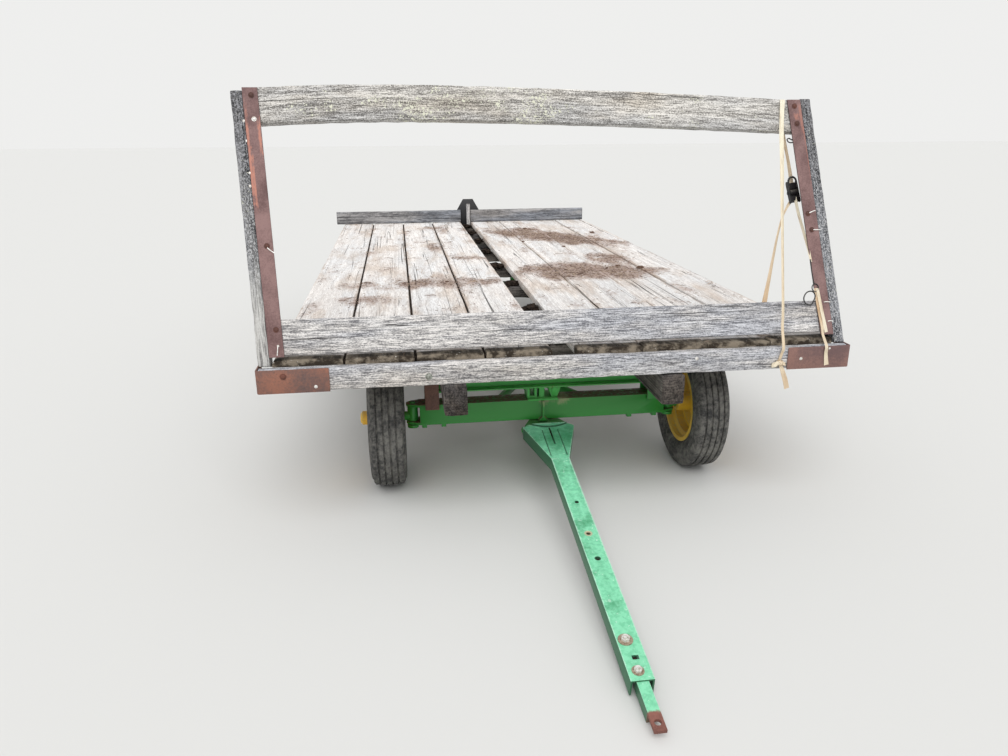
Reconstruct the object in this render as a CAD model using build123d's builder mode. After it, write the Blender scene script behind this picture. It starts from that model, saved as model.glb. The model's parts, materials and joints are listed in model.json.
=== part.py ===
from build123d import *
import os
from math import asin, atan2, cos, hypot, radians, sin, tan

# Hay wagon: a plank deck with a leaning headboard on a four wheeled running gear.
# Lengths are in millimetres. x runs across, y rearward, z up from the ground.
# Places are measured from the deck's centreline and its front edge.
# The wagon's own left is +x, its right is -x.

os.makedirs("parts", exist_ok=True)

# Deck
deck_width = 2438.0
deck_length = 4877.0
plank_thickness = 45.0
plank_gap = 4.0
planks_per_panel = 4
panel_gap = 107.0
plank_edge_wear = 3.0
split_start = 3300.0
split_width = 9.0
split_strip = 36.0

# Cross-members and sills
front_member_places = (270.0, 960.0, 1650.0, 2360.0)
rear_member_insets = (1807.0, 1177.0, 627.0, 77.0)
cross_member_width = 40.0
cross_member_depth = 77.0
cross_member_stickout = 16.0
sill_spacing = 950.0
sill_width = 100.0
sill_depth = 140.0
sill_overhang = 50.0

# Front board and the steel brackets that wrap its ends
front_board_height = 100.0
front_board_thickness = 45.0
bracket_plate = 6.0
bracket_length = 292.0
bracket_return = 82.0
bracket_bend = 12.0

# Headboard: two wooden posts, two angle irons, a lower and a top board
headboard_lean = 17.0
post_width = 48.0
post_depth = 90.0
post_clearance = 6.0
post_seat = 2.0
iron_flange = 61.0
iron_thickness = 6.0
head_board_thickness = 45.0
lower_board_height = 150.0
lower_board_foot = 21.0
top_board_height = 152.0
top_board_bow_place = -450.0
top_board_bow_height = 1118.0

# Rear boards, emblem and its stake
rear_board_height = 122.0
rear_board_thickness = 40.0
rear_board_gap = 94.0
rear_board_overhang = 75.0
emblem_height = 356.0
emblem_top_width = 100.0
emblem_width = 420.0
emblem_top = 227.0
emblem_thickness = 2.0
emblem_side_angle = 30.0
emblem_foot_inset = 40.0
emblem_stake_width = 36.0
emblem_stake_rise = 182.0
emblem_stake_place = 27.0

# Wheels
wheel_radius = 335.0
track = 1560.0
tyre_width = 170.0
tread_width = 136.0
tyre_shoulder_drop = 12.0
tyre_wall = 14.0
rim_radius = 190.0
rim_width = 132.0
rim_flange_height = 16.0
rim_well_depth = 22.0
rim_well_width = 54.0
rim_thickness = 5.0
disc_offset = 18.0
disc_dish = 30.0
disc_overlap = 1.0
hub_radius = 52.0
hub_flange_radius = 80.0
disc_centre_radius = 84.0
hub_taper = 8.0
hub_flange_thickness = 12.0
hub_barrel_reach = 80.0
hub_cap_start = 83.0
hub_cap_shoulder = 120.0
hub_cap_radius = 34.0
hub_cap_bevel = 12.0
hub_cap_wall = 10.0
hub_reach = 130.0
hub_inner_reach = 78.0
spindle_root_radius = 22.0
spindle_radius = 17.0
spindle_end_inset = 20.0
running_gap = 0.6
fit_gap = 0.3

# Axles
front_axle_place = 505.0
wheelbase = 3050.0
beam_depth = 104.0
beam_width = 100.0
beam_top = 402.0
beam_wall = 12.0
beam_side_wall = 8.0
spindle_plate = 16.0
beam_rib_place = -9.5
beam_rib_width = 11.0
beam_rib_reach = 28.0
beam_rib_foot = 48.0
beam_rib_flare = 20.0
beam_lug_places = (-600.0, -505.0, 440.0, 570.0)
beam_lug_width = 24.0
beam_lug_length = 30.0
beam_lug_drop = 14.0
beam_lug_inset = 15.0
kingpin_spacing = 1310.0
kingpin_radius = 14.0
kingpin_stickout = 7.0
fork_end_radius = 32.0
fork_clearance = 3.0
beam_end_gap = 35.0
knuckle_boss_radius = 26.0

# Bolsters and stakes
bolster_clearance = 60.0
bolster_height = 64.0
bolster_flange = 100.0
bolster_wall = 7.0
bolster_web = 8.0
stake_width = 68.0
stake_wall = 8.0
stake_overhang = 15.0
stake_top = 640.0
stake_bottom = 380.0
stake_web_clearance = 16.0
pivot_plate_length = 150.0
pivot_plate_width = 130.0
pivot_plate_thickness = 8.0
pivot_plate_shift = -10.0
pivot_ear_length = 70.0
pivot_fork_place = -61.0
pivot_fork_width = 48.0
pivot_fork_wall = 12.0
pivot_lug_place = -12.0
pivot_lug_width = 26.0
pivot_boss_place = 52.0
pivot_boss_radius = 15.0
pivot_boss_drop = 16.0
pivot_boss_reach = 8.0
pivot_gusset_foot = 30.0
pivot_gusset_top = 66.0
riser_length = 90.0
riser_spread = 640.0
riser_width = 60.0

# Reach and hounds
reach_outer_size = 76.0
reach_inner_size = 64.0
reach_wall = 5.0
reach_joint = 2150.0
reach_overlap = 450.0
reach_height = 350.0
hound_thickness = 10.0
hound_depth = 50.0
front_hound_spread = 250.0
front_hound_length = 420.0
rear_hound_spread = 300.0
rear_hound_length = 760.0

# Steering plate, tie rods and arms
steering_plate_thickness = 14.0
steering_drop = 8.0
steering_arm = 170.0
steering_boss_radius = 62.0
steering_nose_width = 220.0
steering_pin_radius = 15.0
steering_pin_head = 10.0
steering_pin_head_radius = 27.0
rod_eye_radius = 22.0
rod_eye_thickness = 14.0
rod_pin_radius = 10.0
rod_open_clearance = 2.0
rod_radius = 12.0
rod_step = 2.0
rod_flat = 46.0
arm_root_radius = 28.0

# Tongue
hinge_place = 375.0
hinge_height = 274.0
hinge_pin_radius = 10.0
hinge_barrel_radius = 18.0
hinge_barrel_gap = 4.0
tongue_head_width = 250.0
tongue_head_length = 315.0
tongue_corner_cut = 28.0
tongue_neck_width = 84.0
tongue_width = 78.0
tongue_height = 60.0
tongue_wall = 6.0
tongue_box_length = 1590.0
tongue_ear_radius = 18.0
tongue_ear_length = 34.0
tongue_bar_width = 40.0
tongue_bar_drop = 20.0
tongue_bar_start = 950.0
tongue_length = 1768.0
tongue_tip_length = 66.0
tongue_tip_thickness = 12.0
tongue_slot_length = 92.0
tongue_slot_width = 8.0
tongue_slot_place = 36.0
drawbar_pin_radius = 11.0
drawbar_pin_inset = 30.0
adjusting_hole_radius = 9.0
adjusting_hole_places = (655.0, 865.0, 1015.0, 1498.0)
tongue_lip_start = -80.0
tongue_lip_end = 95.0
tongue_lip_bulge = 28.0
tongue_lip_thickness = 6.0
tongue_crease_spread = 76.0
tongue_crease_width = 5.0
tongue_crease_depth = 3.5
tongue_crease_start = 60.0
tongue_crease_margin = 25.0

# Tie-down strap on the headboard's left side, with its ratchet and hook
strap_width = 25.0
strap_thickness = 2.0
strap_fall_inset = 81.0
strap_knot_inset = 279.0
strap_knot_drop = 63.0
strap_tail_shift = 55.0
strap_tail_drop = 130.0
strap_tail_forward = 14.0
strap_back_inset = 68.0
strap_end_drop = 2.0
ratchet_inset = 60.0
ratchet_width = 44.0
ratchet_height = 125.0
ratchet_depth = 30.0
ratchet_wall = 3.0
ratchet_top = 735.0
ratchet_setback = 52.0
ratchet_spool_radius = 9.0
hanging_strap_gap = 2.0
loose_strap_gap = 1.3
loose_strap_inset = 84.0
loose_strap_low_inset = 262.0
loose_strap_low_rise = 180.0
loose_strap_end_rise = 32.0
loose_strap_setback = 59.0
thin_strap_gap = 0.5
thin_strap_width = 8.0
thin_strap_start_inset = 62.0
thin_strap_start_setback = 46.0
thin_strap_inset = 66.0
thin_strap_rise = 345.0
thin_strap_forward = 10.0
hook_ring_inset = 61.0
hook_ring_rise = 226.0
hook_ring_radius = 14.0
hook_wire_radius = 2.5
lower_strap_inset = 55.0
lower_strap_foot_inset = 42.0
lower_strap_foot_rise = 30.0
lower_strap_board_inset = 58.0
lower_strap_end_inset = 53.0
lower_strap_end_drop = 84.0

# Worked out from the sizes above
half_deck = deck_width / 2
rear_member_places = tuple(deck_length - inset for inset in rear_member_insets)
cross_member_places = front_member_places + rear_member_places
plank_width = (half_deck - panel_gap / 2 - plank_gap * (planks_per_panel - 1)) / planks_per_panel
bolster_bottom = beam_top + bolster_clearance
sill_underside = bolster_bottom + bolster_height
sill_top = sill_underside + sill_depth
plank_underside = sill_top + cross_member_depth
deck_height = plank_underside + plank_thickness
post_face = half_deck + post_clearance
board_end = post_face + post_width + post_seat
board_top = sill_top + front_board_height
rear_face = deck_length + emblem_thickness
lean = radians(headboard_lean)
contact_reach = tongue_length - tongue_tip_length
tongue_slope = asin(hinge_height / hypot(contact_reach, tongue_bar_drop)) - atan2(
    tongue_bar_drop, contact_reach
)
beam_bottom = beam_top - beam_depth
plate_top = beam_bottom - steering_drop
plate_bottom = plate_top - steering_plate_thickness
kingpin_place = kingpin_spacing / 2
wheel_place = track / 2
rear_axle_place = front_axle_place + wheelbase
stake_inner = sill_spacing / 2 + sill_width / 2
bolster_length = 2 * (stake_inner + stake_width - stake_wall)

# The sides: name, sign of x, how far the post leans to -x per unit of its height,
# and the heights of the iron and the wooden post along the slope.
sides = (
    ("left", 1, 0.113, 1058.0, 1063.0),
    ("right", -1, 0.050, 1109.0, 1099.0),
)

# The model's origin is under the middle of its own box, on the ground.
post_foot = (board_top - deck_height) * cos(lean)
right_post_reach = post_face + post_width + sides[1][2] * (sides[1][4] - post_foot)
left_bracket_reach = board_end + bracket_plate
shift_x = (right_post_reach - left_bracket_reach) / 2
tip_reach = tongue_length * cos(tongue_slope) + (tongue_height / 2 - tongue_wall) * sin(tongue_slope)
shift_y = (tip_reach - hinge_place - rear_face) / 2


def level(height):
    # A level work plane: x across, y rearward.
    return Plane(origin=(shift_x, shift_y, height), x_dir=(1, 0, 0), z_dir=(0, 0, 1))


def across(place):
    # An upright work plane across the wagon, facing forward: x across, y up.
    return Plane(origin=(shift_x, shift_y + place, 0), x_dir=(1, 0, 0), z_dir=(0, -1, 0))


def lengthwise(place):
    # An upright work plane along the wagon, facing +x: x rearward, y up.
    return Plane(origin=(shift_x + place, shift_y, 0), x_dir=(0, 1, 0), z_dir=(1, 0, 0))


def headboard_plane(forward):
    # The leaning plane of the headboard: x across, y up the slope, facing forward.
    y = shift_y - forward * cos(lean)
    z = deck_height + forward * sin(lean)
    return Plane(origin=(shift_x, y, z), x_dir=(1, 0, 0), z_dir=(0, -cos(lean), sin(lean)))


def tongue_plane(up):
    # The sloping plane of the tongue: x across, y back up towards the hinge.
    y = shift_y + hinge_place - up * sin(tongue_slope)
    z = hinge_height + up * cos(tongue_slope)
    slope_normal = (0, -sin(tongue_slope), cos(tongue_slope))
    return Plane(origin=(shift_x, y, z), x_dir=(1, 0, 0), z_dir=slope_normal)


def cross_axis(place, height):
    # A line across the wagon.
    return Axis((shift_x, shift_y + place, height), (1, 0, 0))


def post_line(sign, slant, inset, height):
    # A point on a headboard post's inner face, moved inboard by inset.
    return (sign * (post_face - inset) - slant * (height - post_foot), height)


def headboard_point(inset, rise, forward):
    # A point beside the left post: inboard of it, up the slope, ahead of the boards.
    x = post_line(1, sides[0][2], inset, rise)[0]
    y = rise * sin(lean) - forward * cos(lean)
    return Vector(shift_x + x, shift_y + y, deck_height + rise * cos(lean) + forward * sin(lean))


def board_point(inset, drop, forward):
    # A point before the front board: inboard of the left post, below the board's top.
    y = -front_board_thickness - forward
    return Vector(shift_x + post_face - inset, shift_y + y, board_top - drop)


def run_plane(start, end, face):
    # The plane across a straight run that lies on a face, given by its outward direction.
    along = (end - start).normalized()
    return Plane(origin=start, x_dir=face.cross(along), z_dir=along)


# Deck planks, four to a panel, their upper edges worn round
for side, sign, slant, iron_height, post_height in sides:
    with BuildPart() as planks:
        with BuildSketch(level(plank_underside)):
            for row in range(planks_per_panel):
                middle = panel_gap / 2 + plank_width / 2 + row * (plank_width + plank_gap)
                with Locations((sign * middle, deck_length / 2)):
                    Rectangle(plank_width, deck_length)
        extrude(amount=plank_thickness)
        worn = planks.edges().filter_by(Axis.Y).group_by(Axis.Z)[-1]
        chamfer(worn, length=plank_edge_wear)
        # The outer left plank is split from its rear end.
        if side == "left":
            with BuildSketch(level(plank_underside)):
                with BuildLine():
                    Polyline(
                        (half_deck - split_strip, split_start),
                        (half_deck - split_strip + split_width, deck_length + split_width),
                        (half_deck - split_strip - split_width, deck_length + split_width),
                        close=True,
                    )
                make_face()
            extrude(amount=plank_thickness, mode=Mode.SUBTRACT)
    planks.part.label = f"deck_planks_{side}"
    export_step(planks.part, f"parts/deck_planks_{side}.step")

# Cross-members, on edge between planks and sills
with BuildPart() as cross_members:
    with BuildSketch(level(sill_top)):
        for place in cross_member_places:
            with Locations((-cross_member_stickout / 2, place)):
                Rectangle(deck_width + cross_member_stickout, cross_member_width)
    extrude(amount=cross_member_depth)
cross_members.part.label = "cross_members"
export_step(cross_members.part, "parts/cross_members.step")

# Sills, the two long timbers that lie on the bolsters
for side, sign, slant, iron_height, post_height in sides:
    with BuildPart() as sill:
        with BuildSketch(level(sill_underside)):
            with Locations((sign * sill_spacing / 2, (deck_length - sill_overhang) / 2)):
                Rectangle(sill_width, deck_length + sill_overhang)
        extrude(amount=sill_depth)
        chamfer(sill.edges().filter_by(Axis.Y), length=plank_edge_wear)
    sill.part.label = f"sill_{side}"
    export_step(sill.part, f"parts/sill_{side}.step")

# Front board, across the planks' ends
with BuildPart() as front_board:
    with BuildSketch(level(sill_top)):
        with Locations((0, -front_board_thickness / 2)):
            Rectangle(2 * board_end, front_board_thickness)
    extrude(amount=front_board_height)
    chamfer(front_board.edges().filter_by(Axis.X).group_by(Axis.Y)[0], length=plank_edge_wear)
front_board.part.label = "front_board"
export_step(front_board.part, "parts/front_board.step")

# Steel brackets, each one plate bent round the front board's end and the post's foot
for side, sign, slant, iron_height, post_height in sides:
    with BuildPart() as bracket:
        with BuildSketch(level(sill_top)):
            inner = -front_board_thickness
            outer = inner - bracket_plate
            with BuildLine():
                Polyline(
                    (sign * (board_end + bracket_plate - bracket_length), outer),
                    (sign * (board_end + bracket_plate), outer),
                    (sign * (board_end + bracket_plate), bracket_return),
                    (sign * board_end, bracket_return),
                    (sign * board_end, inner),
                    (sign * (board_end + bracket_plate - bracket_length), inner),
                    close=True,
                )
            make_face()
        extrude(amount=front_board_height)
        corner = bracket.edges().filter_by(Axis.Z).sort_by_distance(
            (shift_x + sign * (board_end + bracket_plate), shift_y + outer, sill_top)
        )[0]
        fillet(corner, radius=bracket_bend)
    bracket.part.label = f"front_bracket_{side}"
    export_step(bracket.part, f"parts/front_bracket_{side}.step")

# Headboard posts of wood, outboard of the irons
for side, sign, slant, iron_height, post_height in sides:
    with BuildPart() as post:
        with BuildSketch(headboard_plane(iron_thickness)):
            with BuildLine():
                Polyline(
                    post_line(sign, slant, 0, post_foot),
                    post_line(sign, slant, 0, post_height),
                    post_line(sign, slant, -post_width, post_height),
                    post_line(sign, slant, -post_width, post_foot),
                    close=True,
                )
            make_face()
        extrude(amount=-post_depth)
    post.part.label = f"headboard_post_{side}"
    export_step(post.part, f"parts/headboard_post_{side}.step")

# Headboard angle irons, one flange over the boards' ends, one along the post
iron_back = iron_flange - iron_thickness
iron_foot = iron_back * tan(lean)
for side, sign, slant, iron_height, post_height in sides:
    with BuildPart() as iron:
        for width, depth in ((iron_flange, iron_thickness), (iron_thickness, iron_flange)):
            with BuildSketch(headboard_plane(iron_thickness)):
                with BuildLine():
                    Polyline(
                        post_line(sign, slant, 0, iron_foot),
                        post_line(sign, slant, 0, iron_height),
                        post_line(sign, slant, width, iron_height),
                        post_line(sign, slant, width, iron_foot),
                        close=True,
                    )
                make_face()
            extrude(amount=-depth)
    iron.part.label = f"headboard_iron_{side}"
    export_step(iron.part, f"parts/headboard_iron_{side}.step")

# Headboard boards, their ends behind the irons' front flanges
left_slant = sides[0][2]
right_slant = sides[1][2]
lower_board_top = lower_board_foot + lower_board_height
with BuildPart() as lower_board:
    with BuildSketch(headboard_plane(0)):
        with BuildLine():
            Polyline(
                post_line(-1, right_slant, iron_thickness, lower_board_foot),
                post_line(-1, right_slant, iron_thickness, lower_board_top),
                post_line(1, left_slant, iron_thickness, lower_board_top),
                post_line(1, left_slant, iron_thickness, lower_board_foot),
                close=True,
            )
        make_face()
    extrude(amount=-head_board_thickness)
lower_board.part.label = "headboard_lower_board"
export_step(lower_board.part, "parts/headboard_lower_board.step")

with BuildPart() as top_board:
    with BuildSketch(headboard_plane(0)):
        right_top = post_line(-1, right_slant, iron_thickness, sides[1][3])
        left_top = post_line(1, left_slant, iron_thickness, sides[0][3])
        right_low = post_line(-1, right_slant, iron_thickness, sides[1][3] - top_board_height)
        left_low = post_line(1, left_slant, iron_thickness, sides[0][3] - top_board_height)
        bow_top = (top_board_bow_place, top_board_bow_height)
        bow_low = (top_board_bow_place, top_board_bow_height - top_board_height)
        with BuildLine():
            ThreePointArc(right_top, bow_top, left_top)
            Line(left_top, left_low)
            ThreePointArc(left_low, bow_low, right_low)
            Line(right_low, right_top)
        make_face()
    extrude(amount=-head_board_thickness)
top_board.part.label = "headboard_top_board"
export_step(top_board.part, "parts/headboard_top_board.step")

# Rear boards, on edge on the deck's rear end
for side, sign, slant, iron_height, post_height in sides:
    reach = half_deck + (rear_board_overhang if side == "right" else 0)
    with BuildPart() as rear_board:
        with BuildSketch(level(deck_height)):
            middle = (reach + rear_board_gap / 2) / 2
            with Locations((sign * middle, deck_length - rear_board_thickness / 2)):
                Rectangle(reach - rear_board_gap / 2, rear_board_thickness)
        extrude(amount=rear_board_height)
        upper = rear_board.edges().filter_by(Axis.X).group_by(Axis.Z)[-1]
        chamfer(upper, length=plank_edge_wear)
    rear_board.part.label = f"rear_board_{side}"
    export_step(rear_board.part, f"parts/rear_board_{side}.step")

# Stake between the rear boards, nailed to the last cross-member, and the emblem on it
last_member_back = cross_member_places[-1] + cross_member_width / 2
with BuildPart() as emblem_stake:
    with BuildSketch(level(sill_top)):
        middle = (last_member_back + deck_length) / 2
        with Locations((emblem_stake_place, middle)):
            Rectangle(emblem_stake_width, deck_length - last_member_back)
    extrude(amount=deck_height + emblem_stake_rise - sill_top)
emblem_stake.part.label = "emblem_stake"
export_step(emblem_stake.part, "parts/emblem_stake.step")

with BuildPart() as emblem:
    with BuildSketch(across(deck_length)):
        top = deck_height + emblem_top
        side_drop = (emblem_width - emblem_top_width) / 2 / tan(radians(emblem_side_angle))
        with BuildLine():
            Polyline(
                (emblem_stake_place - emblem_top_width / 2, top),
                (emblem_stake_place + emblem_top_width / 2, top),
                (emblem_stake_place + emblem_width / 2, top - side_drop),
                (emblem_stake_place + emblem_width / 2 - emblem_foot_inset, top - emblem_height),
                (emblem_stake_place - emblem_width / 2 + emblem_foot_inset, top - emblem_height),
                (emblem_stake_place - emblem_width / 2, top - side_drop),
                close=True,
            )
        make_face()
    extrude(amount=-emblem_thickness)
emblem.part.label = "slow_vehicle_emblem"
export_step(emblem.part, "parts/slow_vehicle_emblem.step")


# Wheels: name, sign of x, place of the axle
wheels = (
    ("front_left", 1, front_axle_place),
    ("front_right", -1, front_axle_place),
    ("rear_left", 1, rear_axle_place),
    ("rear_right", -1, rear_axle_place),
)


def wheel_point(sign, outward, radius):
    # A point of a wheel's section, outward from the wheel's middle plane.
    return (sign * (wheel_place + outward), wheel_radius + radius)


for name, sign, place in wheels:
    axle_line = cross_axis(place, wheel_radius)

    # Tyre: a hollow section from bead to bead
    with BuildPart() as tyre:
        with BuildSketch(across(place)):
            bead = rim_width / 2 - rim_thickness
            bulge = tyre_width / 2
            waist = (rim_radius + wheel_radius) / 2
            shoulder = wheel_radius - tyre_shoulder_drop
            with BuildLine():
                points = []
                for outward, radius in (
                    (-bead, rim_radius),
                    (-bead, rim_radius + rim_flange_height),
                    (-bulge, waist),
                    (-tread_width / 2, shoulder),
                    (-tread_width / 2 + tyre_shoulder_drop, wheel_radius),
                    (tread_width / 2 - tyre_shoulder_drop, wheel_radius),
                    (tread_width / 2, shoulder),
                    (bulge, waist),
                    (bead, rim_radius + rim_flange_height),
                    (bead, rim_radius),
                    (bead - tyre_wall, rim_radius),
                    (bulge - tyre_wall, waist),
                    (tread_width / 2 - tyre_wall, shoulder - tyre_wall),
                    (-tread_width / 2 + tyre_wall, shoulder - tyre_wall),
                    (-bulge + tyre_wall, waist),
                    (-bead + tyre_wall, rim_radius),
                ):
                    points.append(wheel_point(sign, outward, radius))
                Polyline(*points, close=True)
            make_face()
        revolve(axis=axle_line)
    tyre.part.label = f"tyre_{name}"
    export_step(tyre.part, f"parts/tyre_{name}.step")

    # Rim: drop centre barrel and dished disc in one pressing
    with BuildPart() as rim:
        with BuildSketch(across(place)):
            edge = rim_width / 2
            well = rim_well_width / 2
            seat = rim_radius - fit_gap
            drop = seat - rim_well_depth
            with BuildLine():
                points = []
                for outward, radius in (
                    (-edge, seat + rim_flange_height),
                    (-edge + rim_thickness - fit_gap, seat + rim_flange_height),
                    (-edge + rim_thickness - fit_gap, seat),
                    (-well - rim_well_depth / 2, seat),
                    (-well, drop),
                    (well, drop),
                    (well + rim_well_depth / 2, seat),
                    (edge - rim_thickness + fit_gap, seat),
                    (edge - rim_thickness + fit_gap, seat + rim_flange_height),
                    (edge, seat + rim_flange_height),
                    (edge, seat - rim_thickness),
                    (well + rim_well_depth / 2, seat - rim_thickness),
                    (well, drop - rim_thickness),
                    (-well, drop - rim_thickness),
                    (-well - rim_well_depth / 2, seat - rim_thickness),
                    (-edge, seat - rim_thickness),
                ):
                    points.append(wheel_point(sign, outward, radius))
                Polyline(*points, close=True)
            make_face()
        revolve(axis=axle_line)
        with BuildSketch(across(place)):
            with BuildLine():
                points = []
                for outward, radius in (
                    (disc_offset - rim_thickness, drop - disc_overlap),
                    (disc_offset - rim_thickness, drop - disc_dish),
                    (disc_offset - rim_thickness + disc_dish, disc_centre_radius + disc_dish),
                    (disc_offset - rim_thickness + disc_dish / 2, disc_centre_radius),
                    (disc_offset - rim_thickness + disc_dish / 2, hub_radius + running_gap),
                    (disc_offset + disc_dish / 2, hub_radius + running_gap),
                    (disc_offset + disc_dish / 2, disc_centre_radius),
                    (disc_offset + disc_dish, disc_centre_radius + disc_dish),
                    (disc_offset, drop - disc_dish),
                    (disc_offset, drop - disc_overlap),
                ):
                    points.append(wheel_point(sign, outward, radius))
                Polyline(*points, close=True)
            make_face()
        revolve(axis=axle_line)
    rim.part.label = f"rim_{name}"
    export_step(rim.part, f"parts/rim_{name}.step")

    # Hub: barrel over the spindle, flange against the disc, and a domed cap
    with BuildPart() as hub:
        with BuildSketch(across(place)):
            flange_face = disc_offset - rim_thickness + disc_dish / 2
            bore = spindle_radius + running_gap
            with BuildLine():
                points = []
                for outward, radius in (
                    (-hub_inner_reach, bore),
                    (-hub_inner_reach, hub_radius - hub_taper),
                    (flange_face - hub_flange_thickness, hub_radius),
                    (flange_face - hub_flange_thickness, hub_flange_radius),
                    (flange_face, hub_flange_radius),
                    (flange_face, hub_radius),
                    (hub_barrel_reach, hub_radius - hub_taper),
                    (hub_cap_start, hub_cap_radius),
                    (hub_cap_shoulder, hub_cap_radius),
                    (hub_reach, hub_cap_radius - hub_cap_bevel),
                    (hub_reach, 0),
                    (hub_reach - hub_cap_wall, 0),
                    (hub_reach - hub_cap_wall, bore),
                ):
                    points.append(wheel_point(sign, outward, radius))
                Polyline(*points, close=True)
            make_face()
        revolve(axis=axle_line)
    hub.part.label = f"hub_{name}"
    export_step(hub.part, f"parts/hub_{name}.step")

# Front axle: a box beam whose top and bottom plates run out as forks for the kingpins
spindle_tip = wheel_place + hub_reach - spindle_end_inset
beam_end = kingpin_place - beam_end_gap
with BuildPart() as front_axle:
    with BuildSketch(level(beam_bottom)):
        with Locations((0, front_axle_place)):
            Rectangle(2 * beam_end, beam_width)
    extrude(amount=beam_depth)
    for plate_height in (beam_bottom, beam_top - beam_wall):
        with BuildSketch(level(plate_height)):
            for sign in (-1, 1):
                with BuildLine():
                    Polyline(
                        (sign * (beam_end - beam_width), front_axle_place - beam_width / 2),
                        (sign * beam_end, front_axle_place - beam_width / 2),
                        (sign * kingpin_place, front_axle_place - fork_end_radius),
                        (sign * kingpin_place, front_axle_place + fork_end_radius),
                        (sign * beam_end, front_axle_place + beam_width / 2),
                        (sign * (beam_end - beam_width), front_axle_place + beam_width / 2),
                        close=True,
                    )
                make_face()
                with Locations((sign * kingpin_place, front_axle_place)):
                    Circle(fork_end_radius)
            with Locations(
                (kingpin_place, front_axle_place), (-kingpin_place, front_axle_place)
            ):
                Circle(kingpin_radius + running_gap, mode=Mode.SUBTRACT)
        extrude(amount=beam_wall)
    with BuildSketch(level(beam_bottom + beam_wall)):
        with Locations((0, front_axle_place)):
            Rectangle(2 * beam_end, beam_width - 2 * beam_side_wall)
    extrude(amount=beam_depth - 2 * beam_wall, mode=Mode.SUBTRACT)
    # Rib down the beam's face, flared at its foot
    with BuildSketch(across(front_axle_place - beam_width / 2)):
        rib = beam_rib_width / 2
        foot = beam_rib_foot / 2
        with BuildLine():
            Polyline(
                (beam_rib_place - foot, beam_bottom),
                (beam_rib_place + foot, beam_bottom),
                (beam_rib_place + rib, beam_bottom + beam_rib_flare),
                (beam_rib_place + rib, beam_top),
                (beam_rib_place - rib, beam_top),
                (beam_rib_place - rib, beam_bottom + beam_rib_flare),
                close=True,
            )
        make_face()
    extrude(amount=beam_rib_reach)
    # Lugs under the beam
    with BuildSketch(level(beam_bottom - beam_lug_drop)):
        for place in beam_lug_places:
            with Locations((place, front_axle_place - beam_width / 2 + beam_lug_inset)):
                Rectangle(beam_lug_width, beam_lug_length)
    extrude(amount=beam_lug_drop)
    # Steering pin, hanging below the beam with its head under the plate
    with BuildSketch(level(plate_bottom - steering_pin_head - fit_gap)):
        with Locations((0, front_axle_place)):
            Circle(steering_pin_head_radius)
    extrude(amount=steering_pin_head)
    with BuildSketch(level(plate_bottom - fit_gap)):
        with Locations((0, front_axle_place)):
            Circle(steering_pin_radius)
    extrude(amount=beam_bottom - plate_bottom + fit_gap)
front_axle.part.label = "front_axle"
export_step(front_axle.part, "parts/front_axle.step")

# Rear axle: a channel open below, with a spindle welded in the plate at each end
root_tip = wheel_place - hub_inner_reach - fork_clearance
rear_beam_half = kingpin_place + beam_end_gap / 2
plate_inner = rear_beam_half - spindle_plate
with BuildPart() as rear_axle:
    with BuildSketch(level(beam_bottom)):
        with Locations((0, rear_axle_place)):
            Rectangle(2 * rear_beam_half, beam_width)
    extrude(amount=beam_depth)
    with BuildSketch(level(beam_bottom)):
        with Locations((0, rear_axle_place)):
            Rectangle(2 * plate_inner, beam_width - 2 * beam_side_wall)
    extrude(amount=beam_depth - beam_wall, mode=Mode.SUBTRACT)
    for sign in (-1, 1):
        for radius, tip in ((spindle_root_radius, root_tip), (spindle_radius, spindle_tip)):
            with BuildSketch(lengthwise(sign * plate_inner)):
                with Locations((rear_axle_place, wheel_radius)):
                    Circle(radius)
            extrude(amount=sign * (tip - plate_inner))
rear_axle.part.label = "rear_axle"
export_step(rear_axle.part, "parts/rear_axle.step")

# Knuckles: a boss between the fork's plates, a spindle outward, an arm rearward
for side, sign, slant, iron_height, post_height in sides:
    with BuildPart() as knuckle:
        boss_bottom = beam_bottom + beam_wall + fork_clearance
        boss_top = beam_top - beam_wall - fork_clearance
        with BuildSketch(level(boss_bottom)):
            with Locations((sign * kingpin_place, front_axle_place)):
                Circle(knuckle_boss_radius)
        extrude(amount=boss_top - boss_bottom)
        with BuildSketch(level(plate_bottom)):
            with Locations((sign * kingpin_place, front_axle_place)):
                Circle(kingpin_radius)
        extrude(amount=beam_top + kingpin_stickout - plate_bottom)
        with BuildSketch(lengthwise(sign * kingpin_place)):
            with Locations((front_axle_place, wheel_radius)):
                Circle(spindle_root_radius)
        extrude(amount=sign * (root_tip - kingpin_place))
        with BuildSketch(lengthwise(sign * kingpin_place)):
            with Locations((front_axle_place, wheel_radius)):
                Circle(spindle_radius)
        extrude(amount=sign * (spindle_tip - kingpin_place))
        arm_end = front_axle_place + steering_arm
        with BuildSketch(level(plate_bottom)):
            with BuildLine():
                Polyline(
                    (sign * kingpin_place - arm_root_radius, front_axle_place),
                    (sign * kingpin_place + arm_root_radius, front_axle_place),
                    (sign * kingpin_place + rod_eye_radius, arm_end),
                    (sign * kingpin_place - rod_eye_radius, arm_end),
                    close=True,
                )
            make_face()
            with Locations((sign * kingpin_place, front_axle_place)):
                Circle(arm_root_radius)
            with Locations((sign * kingpin_place, arm_end)):
                Circle(rod_eye_radius)
        extrude(amount=steering_plate_thickness)
        # The pin at the arm's end stands in the tie rod's open eye.
        layers = 1 if side == "left" else 2
        pin_length = layers * (rod_eye_thickness + rod_step)
        with BuildSketch(level(plate_bottom - pin_length)):
            with Locations((sign * kingpin_place, arm_end)):
                Circle(rod_pin_radius)
        extrude(amount=pin_length)
    knuckle.part.label = f"knuckle_{side}"
    export_step(knuckle.part, f"parts/knuckle_{side}.step")

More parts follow.
